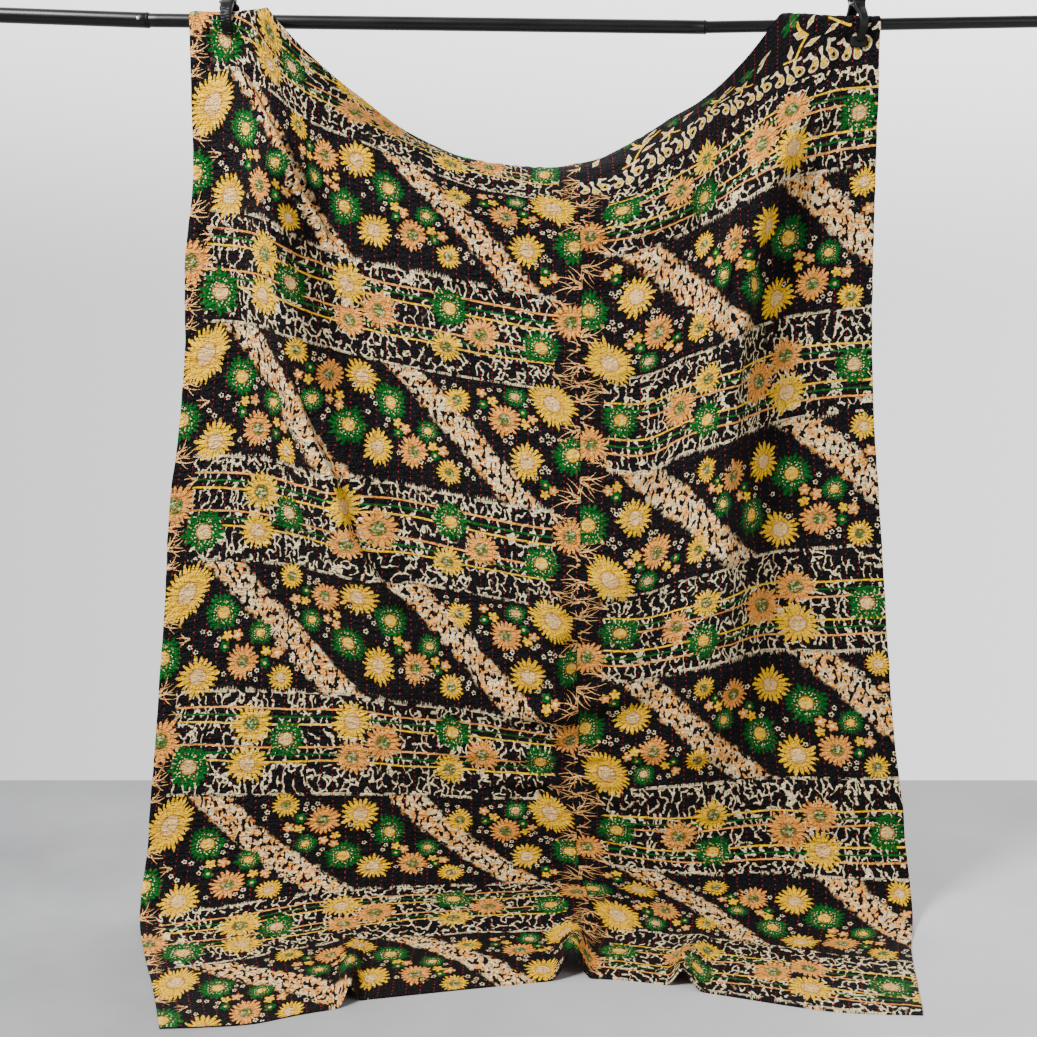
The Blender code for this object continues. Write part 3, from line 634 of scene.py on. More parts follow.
def quilt_sheet(name, first, last, columns, lines, print_place, finishes):
    """One panel: a front net and a back net CLOTH apart along the normal, joined by a rim
    that carries the print, as its edges are turned under.

    The net's points are drape(s, v) plus relief(s, v) along the normal, which is the cross
    product of the two directions of the net.
    """
    s, v = np.meshgrid(np.linspace(first, last, columns + 1), np.linspace(0, QUILT_LENGTH, lines + 1))
    middle = drape(s, v)
    step = 0.0015
    normal = np.cross(drape(s, v + step) - drape(s, v - step), drape(s + step, v) - drape(s - step, v))
    normal = normal / np.linalg.norm(normal, axis=-1, keepdims=True)
    middle = middle + normal * relief(s, v)[..., None]
    middle[..., 0] -= 0.45 * crease(s, drop_of(s, v))
    middle[..., 2] = np.maximum(middle[..., 2], FLOOR_LIFT)
    slope_v, slope_s = np.gradient(middle, axis=(0, 1))
    normal = np.cross(slope_v, slope_s)
    normal = normal / np.linalg.norm(normal, axis=-1, keepdims=True)
    points = np.stack([middle + normal * CLOTH / 2, middle - normal * CLOTH / 2])
    index = np.arange(points[..., 0].size).reshape(points.shape[:-1])
    f, b = index
    front = np.stack([f[:-1, :-1], f[1:, :-1], f[1:, 1:], f[:-1, 1:]], -1).reshape(-1, 4)
    back = np.stack([b[:-1, :-1], b[:-1, 1:], b[1:, 1:], b[1:, :-1]], -1).reshape(-1, 4)
    rims = [np.stack([f[:-1, 0], b[:-1, 0], b[1:, 0], f[1:, 0]], -1),
            np.stack([f[:-1, -1], f[1:, -1], b[1:, -1], b[:-1, -1]], -1),
            np.stack([f[0, :-1], f[0, 1:], b[0, 1:], b[0, :-1]], -1),
            np.stack([f[-1, :-1], b[-1, :-1], b[-1, 1:], f[-1, 1:]], -1)]
    faces = np.concatenate([front, back] + rims)
    thing = surface(name, points, faces.tolist(), finishes)
    mesh = thing.data
    slot = np.zeros(len(faces), np.int32)
    slot[len(front):len(front) + len(back)] = 1
    mesh.polygons.foreach_set("material_index", slot)

    corner = faces.reshape(-1)
    flat_s, flat_v = np.tile(s.reshape(-1), 2)[corner], np.tile(v.reshape(-1), 2)[corner]
    cut = mesh.uv_layers.new(name="cut")
    cut.data.foreach_set("uv", np.stack([flat_s, flat_v], -1).astype(np.float32).reshape(-1))
    move_s, move_t = print_shift(flat_s, drop_of(flat_s, flat_v))
    across, down = print_place(flat_s - move_s, drop_of(flat_s, flat_v) - move_t)
    printed = mesh.uv_layers.new(name="printed")
    printed.data.foreach_set("uv", np.stack([across, down], -1).astype(np.float32).reshape(-1))

    # each front face's flower and strokes, and its corners' places in them
    blooms, strokes = panel_marks(first > 0.5)
    count = len(front)
    a4, d4 = across.reshape(-1, 4)[:count], down.reshape(-1, 4)[:count]
    inside, which = nearest_bloom(a4.mean(1), d4.mean(1), blooms)
    rows = blooms[which]
    dx, dy, turn = a4 - rows[:, 0:1], d4 - rows[:, 1:2], rows[:, 4:5]
    local = np.stack([(dx * np.cos(turn) + dy * np.sin(turn)) / rows[:, 2:3],
                      (-dx * np.sin(turn) + dy * np.cos(turn)) / (rows[:, 2:3] * rows[:, 3:4])], -1)
    local[~inside] = 9.0
    maps = {"bloom": local}
    kinds = list(KINDS.values())
    kind = rows[:, 5].astype(int)
    marks = {"petal": np.array([k[0] for k in kinds])[kind], "heart": np.array([k[1] for k in kinds])[kind],
             "cutting": np.array([(k[2], k[3], k[4]) for k in kinds])[kind],
             "habit": np.stack([np.array([k[5] for k in kinds])[kind], rows[:, 2] > 0.02,
                                (rows[:, 0] * 31 + rows[:, 1] * 17) % 1], -1)}
    near, which = nearest_strokes(a4.mean(1), d4.mean(1), strokes)
    for letter, close, picked in (("a", near[0], which[0]), ("b", near[1], which[1])):
        rows = strokes[picked]
        along, beside, length = stroke_place(a4, d4, rows[:, None])
        maps["stroke_" + letter] = np.where(close[:, None, None], np.stack([along, beside], -1), 9.0)
        marks["make_" + letter] = np.stack([length[:, 0], rows[:, 5], rows[:, 6]], -1)
        marks["dye_" + letter] = np.array([paint(246, 186, 112), CREAM, YELLOW])[rows[:, 7].astype(int)]
    for title, values in maps.items():
        layer = mesh.uv_layers.new(name=title)
        padded = np.full((len(faces) * 4, 2), 9.0, np.float32)
        padded[:count * 4] = values.reshape(-1, 2)
        layer.data.foreach_set("uv", padded.reshape(-1))
    for title, values in marks.items():
        layer = mesh.attributes.new(title, "FLOAT_VECTOR", "FACE")
        padded = np.ones((len(faces), 3), np.float32)
        padded[:count] = values
        layer.data.foreach_set("vector", padded.reshape(-1))

    # the map for baking the finish: front at the left, back at the right, rims between
    u, w = (flat_s - first) / (last - first), 1 - flat_v / QUILT_LENGTH
    part = np.repeat(np.concatenate([np.zeros(len(front)), np.ones(len(back))]
                                    + [np.full(len(r), 2 + n) for n, r in enumerate(rims)]), 4)
    behind = (corner >= index[1].min()).astype(float)
    bake_u = np.select([part == 0, part == 1, part == 2, part == 3],
                       [0.485 * u, 0.515 + 0.485 * u, 0.488 + 0.010 * behind, 0.502 + 0.010 * behind], u)
    bake_w = np.select([part < 4, part == 4],
                       [0.012 + 0.976 * w, 0.990 + 0.008 * behind], 0.002 + 0.008 * behind)
    baked = mesh.uv_layers.new(name="OFBake")
    baked.data.foreach_set("uv", np.stack([bake_u, bake_w], -1).astype(np.float32).reshape(-1))
    mesh.set_sharp_from_angle(angle=math.radians(60))
    return thing


def printed_cotton():
    """The printed face: ragged bands, slanting bands and drawn lines, then the strokes of the
    grass, the vine and the paisleys, then flowers and red running stitch, with the print a little
    rubbed and uneven, painted speckles of pucker highlight and shade over it, painted glints on
    the dark ground, and the cloth gathered between the rows."""
    finish, strand, shader = new_finish("printed_cotton", 0.80)
    cut, place = strand.map("cut"), strand.map("printed")
    across, down = place.parts(2)
    s, v = cut.parts(2)
    level = down.wrap(REPEAT)
    wisp_a, wisp_b, wisp_c = strand.noise(place, 46.0, 1.0, 0.5, 1).parts(3)
    fray = wisp_a - 0.5
    edge_a, edge_b, edge_c = strand.noise(place, 150.0, 1.0, 0.6, 1).parts(3)

    # a net of uneven cells, taller than wide, for the twigs
    where = strand.node("ShaderNodeCombineXYZ", inputs={
        0: (across + 0.016 * (wisp_b - 0.5) + 0.004 * edge_a) * 86.0,
        1: (down + 0.018 * (wisp_c - 0.5) + 0.004 * edge_b) * 52.0})
    near, second = (
        strand.node("ShaderNodeTexVoronoi", {"feature": feature, "voronoi_dimensions": "2D"},
                    {"Vector": where, "Scale": 1.0})
        for feature in ("F1", "F2"))
    seed_near, seed_next = near.out("Position"), second.out("Position")
    pair = strand.node("ShaderNodeVectorMath", {"operation": "ADD"}, {0: seed_near, 1: seed_next}).random("2D")
    apart = second.out("Distance") - near.out("Distance")
    swell = 0.85 * edge_c - 0.245

    # the ragged band of twigs: some sides of the cells, thick and thin, and a hairy rim
    twigs = (apart - swell).ease(0.05, -0.03) * pair.ease(0.46, 0.49)
    ragged = level + 0.010 * fray
    band = ragged.ease(0.251, 0.253) * ragged.ease(0.461, 0.459)
    hairs = strand.noise(place.scaled(420.0, 60.0, 0.0), 1.0, 1.0)
    outside = (0.2535 - level).larger(level - 0.4600)
    rim = outside.ease(-0.0042, -0.0030) * (outside - 0.034 * (hairs - 0.43)).ease(0.0016, -0.0016)
    rim = rim * wisp_c.ease(0.44, 0.52) * (outside > 0.012).ease(1.0, 0.0)
    colour = strand.tint((band * twigs).larger(rim * 0.75), GROUND, CREAM)

    # the slanting bands: soft patches of cream and of peach that break up at the sides, with
    # short dark flecks
    side_a = abs(across - level - 0.113) + 0.030 * fray
    side_b = abs(across - 0.98 * level - 0.500) + 0.030 * fray
    depth_in = (0.045 - side_a).larger(0.043 - side_b)
    bands = (depth_in + 0.020 * (edge_b - 0.5)).ease(-0.0035, 0.0050) * level.ease(0.253, 0.251)
    patches = strand.tint((0.4 * wisp_b + 0.6 * edge_a).ease(0.46, 0.54), CREAM, PEACH)
    flecks = strand.noise(place.scaled(112.0, 64.0, 0.0), 1.0, 1.0, 0.7)
    bands = bands * (1.0 - flecks.ease(0.535, 0.555))
    bands = bands * (depth_in - 0.020 * edge_a).ease(-0.014, 0.004)
    colour = strand.tint(bands, colour, patches)

    # thin drawn lines, three and three, in the ragged band
    sway = level + 0.010 * (strand.noise(place, 6.0, 0.0) - 0.5) + 0.0016 * fray + 0.0012 * (edge_a - 0.5)
    for centre in (0.301, 0.376):
        for step, hue in ((-0.0150, PEACH), (0.0, GREEN), (0.0150, YELLOW)):
            colour = strand.tint(abs(sway - (centre + step)).ease(0.0023, 0.0014), colour, hue)

    # bare ground along both selvages and in the border
    inner = 0.807 - across
    bare = (across + 0.03 * fray).ease(0.039, 0.035).larger((inner - 0.03 * fray).ease(0.000, -0.004))
    colour = strand.tint(bare, colour, GROUND)
    border = (s > SEAM_AT) * drop_of(s, v).ease(BORDER_FOOT + 0.0006, BORDER_FOOT - 0.0006)
    colour = strand.tint(border, colour, GROUND)

    # strokes: round-ended, tapering; a broad one has a yellow inside and a dark line round it,
    # and the broadest is open in the middle
    for letter in ("b", "a"):
        along, beside = strand.map("stroke_" + letter).parts(2)
        length, start, end = strand.mark("make_" + letter).parts(3)
        held = along.larger(0.0).smaller(length)
        radius = start + (end - start) * held / length
        beyond = along - held
        share = (beyond * beyond + beside * beside) ** 0.5 / radius
        broad = radius > 0.0040
        dye = strand.tint(share.ease(0.56, 0.48) * broad, strand.mark("dye_" + letter), YELLOW)
        dye = strand.tint(abs(share - 0.60).ease(0.09, 0.04) * broad, dye, BROWN)
        dye = strand.tint(share.ease(0.42, 0.34) * (radius > 0.0080), dye, GROUND)
        colour = strand.tint(share.ease(1.10, 0.92), colour, dye)

    # flowers: ragged petals round a heart, each a pointed finger of its own length
    local = strand.map("bloom")
    px, py = local.parts(2)
    count, heart_size, depth = strand.mark("cutting").parts(3)
    dotted, large, own = strand.mark("habit").parts(3)
    far = (px * px + py * py) ** 0.5
    mottle = strand.noise(local, 6.0, 2.0, 0.65)
    spoke = (px.sum("ARCTAN2", py, px) / (2 * math.pi) + 0.5) * count + 0.9 * (mottle - 0.5)
    tip = abs(spoke.wrap(1.0) - 0.5) * 2.0
    finger = (spoke.whole().wrap(count) + own * 97.0).random()
    edge = 1.07 - depth * tip ** 1.7 - 0.24 * finger - 0.22 * (mottle - 0.5)
    flower = (edge - far).ease(-0.015, 0.03)
    lines = tip.ease(0.66, 0.96) * far.ease(0.95, 0.45) * 0.80
    shaded = lines.larger((mottle + 0.6 * (edge_a - 0.5)).ease(0.50, 0.62) * 0.48) * large
    petals = strand.mark("petal")
    petals = strand.tint(shaded, petals, strand.tint(1.0, petals, (0.56, 0.34, 0.12), "MULTIPLY"))
    pale = (edge_c + 0.5 * finger).ease(0.84, 0.98) * 0.10 * large * (1.0 - dotted)
    petals = strand.tint(pale, petals, CREAM)
    scribble = abs(mottle + 0.5 * (edge_b - 0.5) - 0.5).ease(0.055, 0.02)
    hearts = strand.tint(scribble * 0.60 * large, strand.mark("heart"), paint(206, 136, 62))
    hearts = strand.tint(edge_c.ease(0.52, 0.60) * 0.50 * large, hearts, CREAM)
    heart_edge = heart_size + 0.18 * (mottle - 0.5)
    bloom = strand.tint((heart_edge - far).ease(-0.02, 0.02), petals, hearts)
    bloom = strand.tint(abs(heart_edge - far).ease(0.05, 0.02) * 0.55 * large, bloom, BROWN)
    dots = strand.node("ShaderNodeTexVoronoi", {"feature": "F1", "voronoi_dimensions": "2D"}, {
        "Vector": local, "Scale": 7.4, "Randomness": 0.9})
    freckles = dots.ease(0.25, 0.17) * far.ease(0.35, 0.39) * far.ease(0.66, 0.52) * dotted
    bloom = strand.tint(freckles, bloom, CREAM)
    colour = strand.tint(flower, colour, bloom)

    # running stitch: red dashes down each row, each row out of step with the next
    stray = strand.noise(cut, 30.0, 1.0) - 0.5
    row = (s + 0.0030 * stray) / STITCH_ROW
    beside = abs(row.wrap(1.0) - 0.5) * STITCH_ROW
    turn = row.whole().random()
    dash = (v / STITCH_STEP + turn * 7.0 + 0.9 * stray).wrap(1.0)
    thread = beside.ease(0.00115, 0.0007) * abs(dash - 0.5).ease(0.17, 0.12)
    colour = strand.tint(thread * 0.8, colour, paint(176, 36, 52))

    # uneven, rubbed print with painted speckles of pucker highlight and shade, and painted glints as grey
    # specks on the dark ground
    speckle_noise = strand.noise(place, 320.0, 1.0, 0.8)
    # painted speckle: this random multiply is partly the print's own rubbing and partly painted highlight and
    # shade of the puckers
    wear_and_painted_pucker_light = -0.15 + 2.3 * speckle_noise
    worn_and_pucker_lit = strand.tint(0.62, colour, strand.node("ShaderNodeCombineXYZ", inputs={0: wear_and_painted_pucker_light, 1: wear_and_painted_pucker_light, 2: wear_and_painted_pucker_light}),
                       "MULTIPLY")
    # painted highlight: grey specks tinted into the dark ground stand in for glints on the black cotton
    dark = strand.node("ShaderNodeRGBToBW", inputs={"Color": worn_and_pucker_lit}).ease(0.05, 0.01)
    strand.tint(speckle_noise.ease(0.52, 0.72) * 0.19 * dark, worn_and_pucker_lit, paint(92, 88, 98)).feed(shader, "Base Color")
    shader.inputs["Specular IOR Level"].default_value = 0.12
    gathers(strand, cut, s).bump(shader)
    return finish


def gathers(strand, cut, s):
    """Height: level ripples between the stitch rows, the rows' shallow valleys, and the weave."""
    beside = abs((s / STITCH_ROW).wrap(1.0) - 0.5) * 2.0
    ripples = strand.noise(cut.scaled(42.0, 96.0, 0.0), 1.0, 3.0, 0.72)
    slubs = strand.noise(cut, 420.0, 1.0, 0.6)
    return ripples * 0.0260 - 0.0014 * beside.ease(0.40, 0.0) + slubs * 0.0012


def backing_cotton():
    """The reverse: plain red cotton, slubbed, with the same rows of stitch showing through."""
    finish, strand, shader = new_finish("backing_cotton", 0.9)
    cut = strand.map("cut")
    slub = strand.noise(cut.scaled(1.0, 0.12, 1.0), 420.0, 3.0, 0.6)
    tone = strand.tint(slub, paint(112, 22, 24), paint(150, 40, 36))
    s, v = cut.parts(2)
    row = (s + 0.0030 * (strand.noise(cut, 30.0, 1.0) - 0.5)) / STITCH_ROW
    beside = abs(row.wrap(1.0) - 0.5) * STITCH_ROW
    turn = row.whole().random()
    dash = (v / STITCH_STEP + turn * 7.0 + 0.5).wrap(1.0)
    thread = beside.ease(0.00125, 0.0008) * abs(dash - 0.5).ease(0.22, 0.17)
    strand.tint(thread, tone, paint(206, 120, 100)).feed(shader, "Base Color")
    gathers(strand, cut, s).bump(shader)
    return finish


printed = printed_cotton()
backing = backing_cotton()
left_panel = quilt_sheet("quilt_left", 0.0, SEAM_AT - SEAM_HALF_GAP, 140, 336,
                         lambda s, t: (s, t - LEFT_PRINT_AT), [printed, backing])
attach(left_panel, "root")
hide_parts("quilt_left_panel")

# ------------------------------------------------------------------------------------------
# The right panel.  The narrower length, cut from the same print and turned end for end, so
# its flowers run the other way; stitched to the left one along the upright seam.
# ------------------------------------------------------------------------------------------
right_panel = quilt_sheet("quilt_right", SEAM_AT + SEAM_HALF_GAP, QUILT_WIDTH, 106, 350,
                          lambda s, t: (2 * SEAM_AT - s, RIGHT_PRINT_AT - t), [printed, backing])
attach(right_panel, "root")
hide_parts("quilt_right_panel")

# ------------------------------------------------------------------------------------------
# The telescopic rod.  Three steel tubes, each sliding in the next, powder coated in black,
# with a thin moulded collar at each step, a push-on cap at each end and a small lock screw.
# ------------------------------------------------------------------------------------------
OUTER_R, MIDDLE_R, INNER_R, TUBE_WALL = 0.0140, 0.0125, 0.0110, 0.0012
TUBE_OVERLAP = 0.004
CAP_LONG, CAP_OVER = 0.010, 0.0012
BLACK_TONES = (0.0026, 0.0026, 0.0030), (0.0060, 0.0060, 0.0068)


def loft(name, points, finish, ringed=False):
    """A closed surface through a stack of rings of points.  Its two ends are flat faces, or its
    last ring is joined to its first.  Faces are turned to point outwards."""
    index = np.arange(points[..., 0].size).reshape(points.shape[:2])
    here, there = (index, np.roll(index, -1, 0)) if ringed else (index[:-1], index[1:])
    faces = np.stack([here, np.roll(here, -1, 1), np.roll(there, -1, 1), there], -1).reshape(-1, 4).tolist()
    if not ringed:
        faces += [index[0, ::-1].tolist(), index[-1].tolist()]
    thing = surface(name, points, faces, [finish])
    net = bmesh.new()
    net.from_mesh(thing.data)
    bmesh.ops.recalc_face_normals(net, faces=net.faces)
    net.to_mesh(thing.data)
    net.free()
    thing.data.set_sharp_from_angle(angle=math.radians(38))
    return thing


def turned(name, start, end, profile, finish, bored=False):
    """A turned piece: a profile of (along, radius) pairs carried round the line from start to
    end.  A point is start + along * run + radius * (cos a * level + sin a * upright)."""
    run = (end - start) / np.linalg.norm(end - start)
    level = np.cross(run, (0.0, 0.0, 1.0))
    level = level / np.linalg.norm(level)
    a = np.linspace(0, 2 * np.pi, 64, endpoint=False)[:, None]
    ring = np.cos(a) * level + np.sin(a) * np.cross(level, run)
    along, radius = np.array(profile).T
    return loft(name, start + along[:, None, None] * run + radius[:, None, None] * ring, finish, bored)


def powder_black():
    """Black powder coat: satin, faintly rubbed along the tube where the sections slide."""
    finish, strand, shader = new_finish("powder_black", 0.34)
    place = strand.place()
    rubs = strand.noise(place.scaled(9.0, 160.0, 160.0), 1.0, 3.0, 0.6)
    strand.tint(rubs.ease(0.40, 0.72), *BLACK_TONES).feed(shader, "Base Color")
    (0.27 + 0.16 * rubs).feed(shader, "Roughness")
    shader.inputs["Specular IOR Level"].default_value = 0.30
    (strand.noise(place, 700.0, 1.0) * 0.00006).bump(shader)
    return finish


def moulded_black(name, rough, dark, light, fine):
    """Moulded plastic or rubber: dark, with the fine grain of the mould and scuffed patches."""
    finish, strand, shader = new_finish(name, rough)
    place = strand.place()
    scuffs = strand.noise(place, 160.0, 3.0, 0.6)
    strand.tint(scuffs.ease(0.45, 0.70), dark, light).feed(shader, "Base Color")
    (rough - 0.06 + 0.14 * scuffs).feed(shader, "Roughness")
    shader.inputs["Specular IOR Level"].default_value = 0.22
    (strand.noise(place, fine, 1.0) * 0.00009).bump(shader)
    return finish


def plated_steel():
    """Zinc-plated steel, drawn along its length, a little dulled."""
    finish, strand, shader = new_finish("plated_steel", 0.34)
    dull = strand.noise(strand.place(), 420.0, 2.0)
    strand.tint(dull, (0.34, 0.34, 0.33), (0.58, 0.58, 0.57)).feed(shader, "Base Color")
    (0.24 + 0.24 * dull).feed(shader, "Roughness")
    shader.inputs["Metallic"].default_value = 1.0
    return finish


powder = powder_black()
satin_plastic = moulded_black("satin_plastic", 0.40, *BLACK_TONES, 1400.0)
steel = plated_steel()
left_end, left_step, right_step, right_end = (np.array((x, ROD_Y, z)) for x, z in ROD_Z)
run_left, run_middle, run_right = ((b - a) / np.linalg.norm(b - a) for a, b in (
    (left_end, left_step), (left_step, right_step), (right_step, right_end)))

for name, start, end, radius in (
        ("rod_outer_tube", left_end, left_step, OUTER_R),
        ("rod_middle_tube", left_step - run_middle * TUBE_OVERLAP, right_step, MIDDLE_R),
        ("rod_inner_tube", right_step - run_right * TUBE_OVERLAP, right_end, INNER_R)):
    long, bore = np.linalg.norm(end - start), radius - TUBE_WALL
    spots = np.linspace(0.0006, long - 0.0006, 40)
    tube = turned("visible_" + name, start, end, [(0.0, bore), (0.0, radius - 0.0004)]
                  + [(spot, radius) for spot in spots] + [(long, radius - 0.0004), (long, bore)],
                  powder, bored=True)
    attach(tube, "root")
    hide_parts(name)

for name, step, run, long, tube_r, wider_r in (
        ("rod_collar_left", left_step, run_middle, 0.0056, MIDDLE_R, OUTER_R),
        ("rod_collar_right", right_step, run_right, 0.0050, INNER_R, MIDDLE_R)):
    start, inner, outer = step + run * 0.0006, tube_r + 0.0003, wider_r + 0.0004
    collar = turned("visible_" + name, start, start + run * long, [
        (0.0, inner), (0.0, outer - 0.0005), (0.0005, outer), (long * 0.55, outer),
        (long, inner + 0.0005), (long, inner)], satin_plastic, bored=True)
    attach(collar, "root")
    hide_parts(name)

# the caps are shallow cups with a rounded rim, and the screw has a domed head
for name, start, way, radius in (
        ("rod_cap_left", left_end - (0.0009, 0, 0), -1.0, OUTER_R + CAP_OVER),
        ("rod_cap_right", right_end + (0.0009, 0, 0), 1.0, INNER_R + CAP_OVER)):
    cap = turned("visible_" + name, start, start + np.array((way * CAP_LONG, 0, 0)), [
        (0.0, radius - 0.0005), (0.0005, radius), (CAP_LONG - 0.0030, radius),
        (CAP_LONG - 0.0012, radius - 0.0007), (CAP_LONG - 0.0003, radius - 0.0022),
        (CAP_LONG, radius - 0.0045), (CAP_LONG, 0.0015)], satin_plastic)
    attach(cap, "root")
    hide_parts(name)
seat = left_step - run_left * 0.012 + np.array((0, -(OUTER_R + 0.0003), 0))
screw = turned("visible_rod_lock_screw", seat, seat + np.array((0, -0.0016, 0)), [
    (0.0, 0.0030), (0.0, 0.0032), (0.0006, 0.0032), (0.0011, 0.0028), (0.0015, 0.0018),
    (0.0016, 0.0006)], steel)
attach(screw, "root")
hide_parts("rod_lock_screw")

# ------------------------------------------------------------------------------------------
# The left clamp.  A spring clamp of moulded black plastic: two levers on a steel pin with a
# coil spring round it, and ribbed jaws that close on the quilt just below the rod.
# ------------------------------------------------------------------------------------------
# height above the rod's axis: distance out from it, width, thickness
FRONT_LEVER = {
    -0.0270: (0.0096, 0.0184, 0.0066), -0.0245: (0.0093, 0.0198, 0.0078), -0.0200: (0.0094, 0.0200, 0.0078),
    -0.0150: (0.0150, 0.0200, 0.0070), -0.0080: (0.0212, 0.0200, 0.0070), 0.0000: (0.0236, 0.0202, 0.0070),
    0.0100: (0.0228, 0.0208, 0.0075), 0.0200: (0.0172, 0.0226, 0.0085), 0.0280: (0.0112, 0.0244, 0.0090),
    0.0360: (0.0086, 0.0248, 0.0090), 0.0500: (0.0140, 0.0245, 0.0080), 0.0750: (0.0270, 0.0240, 0.0065),
    0.1020: (0.0375, 0.0225, 0.0060), 0.1080: (0.0380, 0.0180, 0.0046)}
# the back lever has broad cheeks beside the rod
BACK_LEVER = {up: (out, wide + 0.0125 * float(0.007 < up < 0.0285), thick)
              for up, (out, wide, thick) in FRONT_LEVER.items()}
PIN_UP = 0.036


def lever(name, foot, facing, turn, stations, ribs, finish):
    """One lever or pad, a loft of rounded oblongs up its stations.

    A ring's point is wide / 2 * c and thick / 2 * n, c and n being the cosine and the sine of
    a full turn raised to the power 0.4, which squares them off.  Both ends draw in by a quarter
    circle.  Ribs stand up on the outer face as raised cosines, half a rib apart at each side.
    """
    ups = list(stations)
    up = np.linspace(ups[0], ups[-1], max(int((ups[-1] - ups[0]) / 0.00062), 24))
    out, wide, thick = (curve(stations, up, column) for column in range(3))
    draw = np.clip(1 - np.minimum(up - ups[0], ups[-1] - up) / 0.0036, 0, 1)
    draw = np.sqrt(np.clip(1 - draw ** 2, 0.12, 1))[:, None]
    a = np.linspace(0, 2 * np.pi, 36, endpoint=False)
    c, n = (np.sign(part) * np.abs(part) ** 0.4 for part in (np.cos(a), np.sin(a)))
    rise, lean = np.gradient(up), np.gradient(out)
    length = np.hypot(rise, lean)
    low, high, pitch, tall = ribs
    wave = 0.5 + 0.5 * np.cos(2 * np.pi * (up[:, None] / pitch + 0.5 * (c > 0)))
    rib = tall * wave * ((up > low) & (up < high))[:, None] * (n > 0.9) * (np.abs(c) < 0.9) * (np.abs(c) > 0.12)
    proud = thick[:, None] / 2 * n * draw + rib
    y = facing * (out[:, None] + proud * (rise / length)[:, None])
    z = up[:, None] - proud * (lean / length)[:, None]
    x = wide[:, None] / 2 * c * draw
    points = np.stack([x * math.cos(turn) - y * math.sin(turn), x * math.sin(turn) + y * math.cos(turn), z], -1)
    return loft(name, points + foot, finish)


def coil_spring(name, centre, turn, finish):
    """A torsion spring: a wire carried along a helix of five turns round the pin."""
    t = np.linspace(0, 1, 200)
    a = 2 * np.pi * 5 * t
    level = np.array((math.cos(turn), math.sin(turn), 0.0))
    ahead = np.array((-math.sin(turn), math.cos(turn), 0.0))
    spoke = np.cos(a)[:, None] * ahead + np.sin(a)[:, None] * np.array((0, 0, 1.0))
    path = centre + 0.013 * (t - 0.5)[:, None] * level + 0.0048 * spoke
    run = np.gradient(path, axis=0)
    run = run / np.linalg.norm(run, axis=-1, keepdims=True)
    b = np.linspace(0, 2 * np.pi, 12, endpoint=False)[None, :, None]
    points = path[:, None] + 0.0009 * (np.cos(b) * spoke[:, None] + np.sin(b) * np.cross(run, spoke)[:, None])
    return loft(name, points, finish)


def clamp_pin(side, foot, turn):
    """The pin, with a rolled head at each end, and the spring round it."""
    half = np.array((math.cos(turn), math.sin(turn), 0.0)) * 0.017
    centre = foot + np.array((0, 0, PIN_UP))
    pin = turned("visible_clamp_" + side + "_pin", centre - half, centre + half, [
        (0.0, 0.0024), (0.0005, 0.0034), (0.0018, 0.0036), (0.0024, 0.0024), (0.0316, 0.0024), (0.0322, 0.0036),
        (0.0335, 0.0034), (0.0340, 0.0024)], steel)
    spring = coil_spring("visible_clamp_" + side + "_spring", centre, turn, steel)
    for piece in (pin, spring):
        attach(piece, "root")
    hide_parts("clamp_" + side + "_pin")


clamp_plastic = moulded_black("clamp_plastic", 0.42, (0.0022, 0.0023, 0.0026), (0.0060, 0.0063, 0.0070), 900.0)
low, high = (np.array(corner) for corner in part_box("clamp_left_pin"))
foot = (low + high) / 2 - np.array((0, 0, PIN_UP))
for name, facing, stations in (("clamp_left_front", -1, FRONT_LEVER), ("clamp_left_back", 1, BACK_LEVER)):
    arm = lever("visible_" + name, foot, facing, 0.0, stations, (-0.025, 0.018, 0.0046, 0.0012), clamp_plastic)
    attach(arm, "root")
    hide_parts(name)
clamp_pin("left", foot, 0.0)

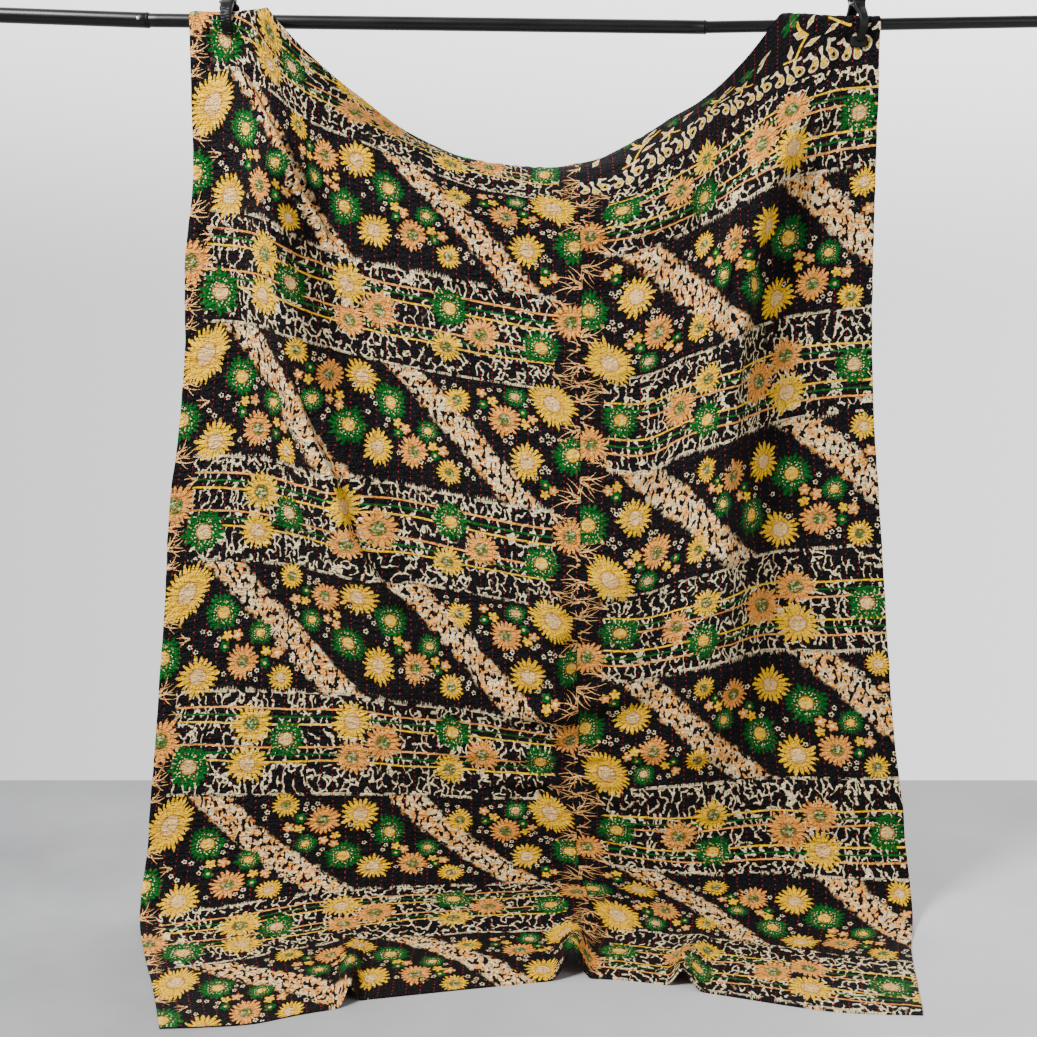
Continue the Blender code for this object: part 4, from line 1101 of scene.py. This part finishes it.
# ------------------------------------------------------------------------------------------
# The right clamp.  The same kind with narrower jaws, twisted on the rod, whose swivelling
# rubber pads hang on a steel wire and lie flat on the quilt.
# ------------------------------------------------------------------------------------------
NARROW_LEVER = {
    -0.0320: (0.0112, 0.0140, 0.0050), -0.0260: (0.0140, 0.0156, 0.0060), -0.0180: (0.0200, 0.0160, 0.0066),
    -0.0100: (0.0242, 0.0160, 0.0070), 0.0000: (0.0256, 0.0162, 0.0070), 0.0100: (0.0238, 0.0170, 0.0075),
    0.0200: (0.0178, 0.0190, 0.0080), 0.0280: (0.0116, 0.0214, 0.0085), 0.0360: (0.0086, 0.0226, 0.0088),
    0.0500: (0.0140, 0.0230, 0.0080), 0.0750: (0.0270, 0.0230, 0.0065), 0.1020: (0.0375, 0.0220, 0.0060),
    0.1080: (0.0380, 0.0180, 0.0046)}
PAD = {-0.0430: (0.0083, 0.0280, 0.0044), -0.0320: (0.0083, 0.0306, 0.0050),
       -0.0210: (0.0083, 0.0296, 0.0046)}
CLAMP_TWIST = 0.34
pad_rubber = moulded_black("pad_rubber", 0.74, (0.0034, 0.0031, 0.0022), (0.0080, 0.0074, 0.0054), 500.0)
low, high = (np.array(corner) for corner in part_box("clamp_right_pin"))
foot = (low + high) / 2 - np.array((0, 0, PIN_UP))
for name, facing in (("clamp_right_front", -1), ("clamp_right_back", 1)):
    arm = lever("visible_" + name, foot, facing, CLAMP_TWIST, NARROW_LEVER,
                (-0.020, 0.017, 0.0014, 0.0003), clamp_plastic)
    seat = foot + np.array((-facing * 0.0040, 0, 0))
    pad = lever("visible_" + name + "_pad", seat, facing, 0.0, PAD,
                (-0.040, -0.024, 0.0030, 0.0004), pad_rubber)
    half = np.array((0.0135, 0, 0.0008))
    hinge = seat + np.array((0, facing * 0.0116, -0.0225))
    wire = turned("visible_" + name + "_wire", hinge - half, hinge + half, [
        (0.0, 0.0003), (0.0002, 0.0006), (0.0268, 0.0006), (0.0270, 0.0003)], steel)
    for piece, slot in ((arm, "clamp_plastic"), (pad, "clamp_plastic"), (wire, "screw_steel")):
        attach(piece, "root")
    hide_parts(name)
clamp_pin("right", foot, CLAMP_TWIST)
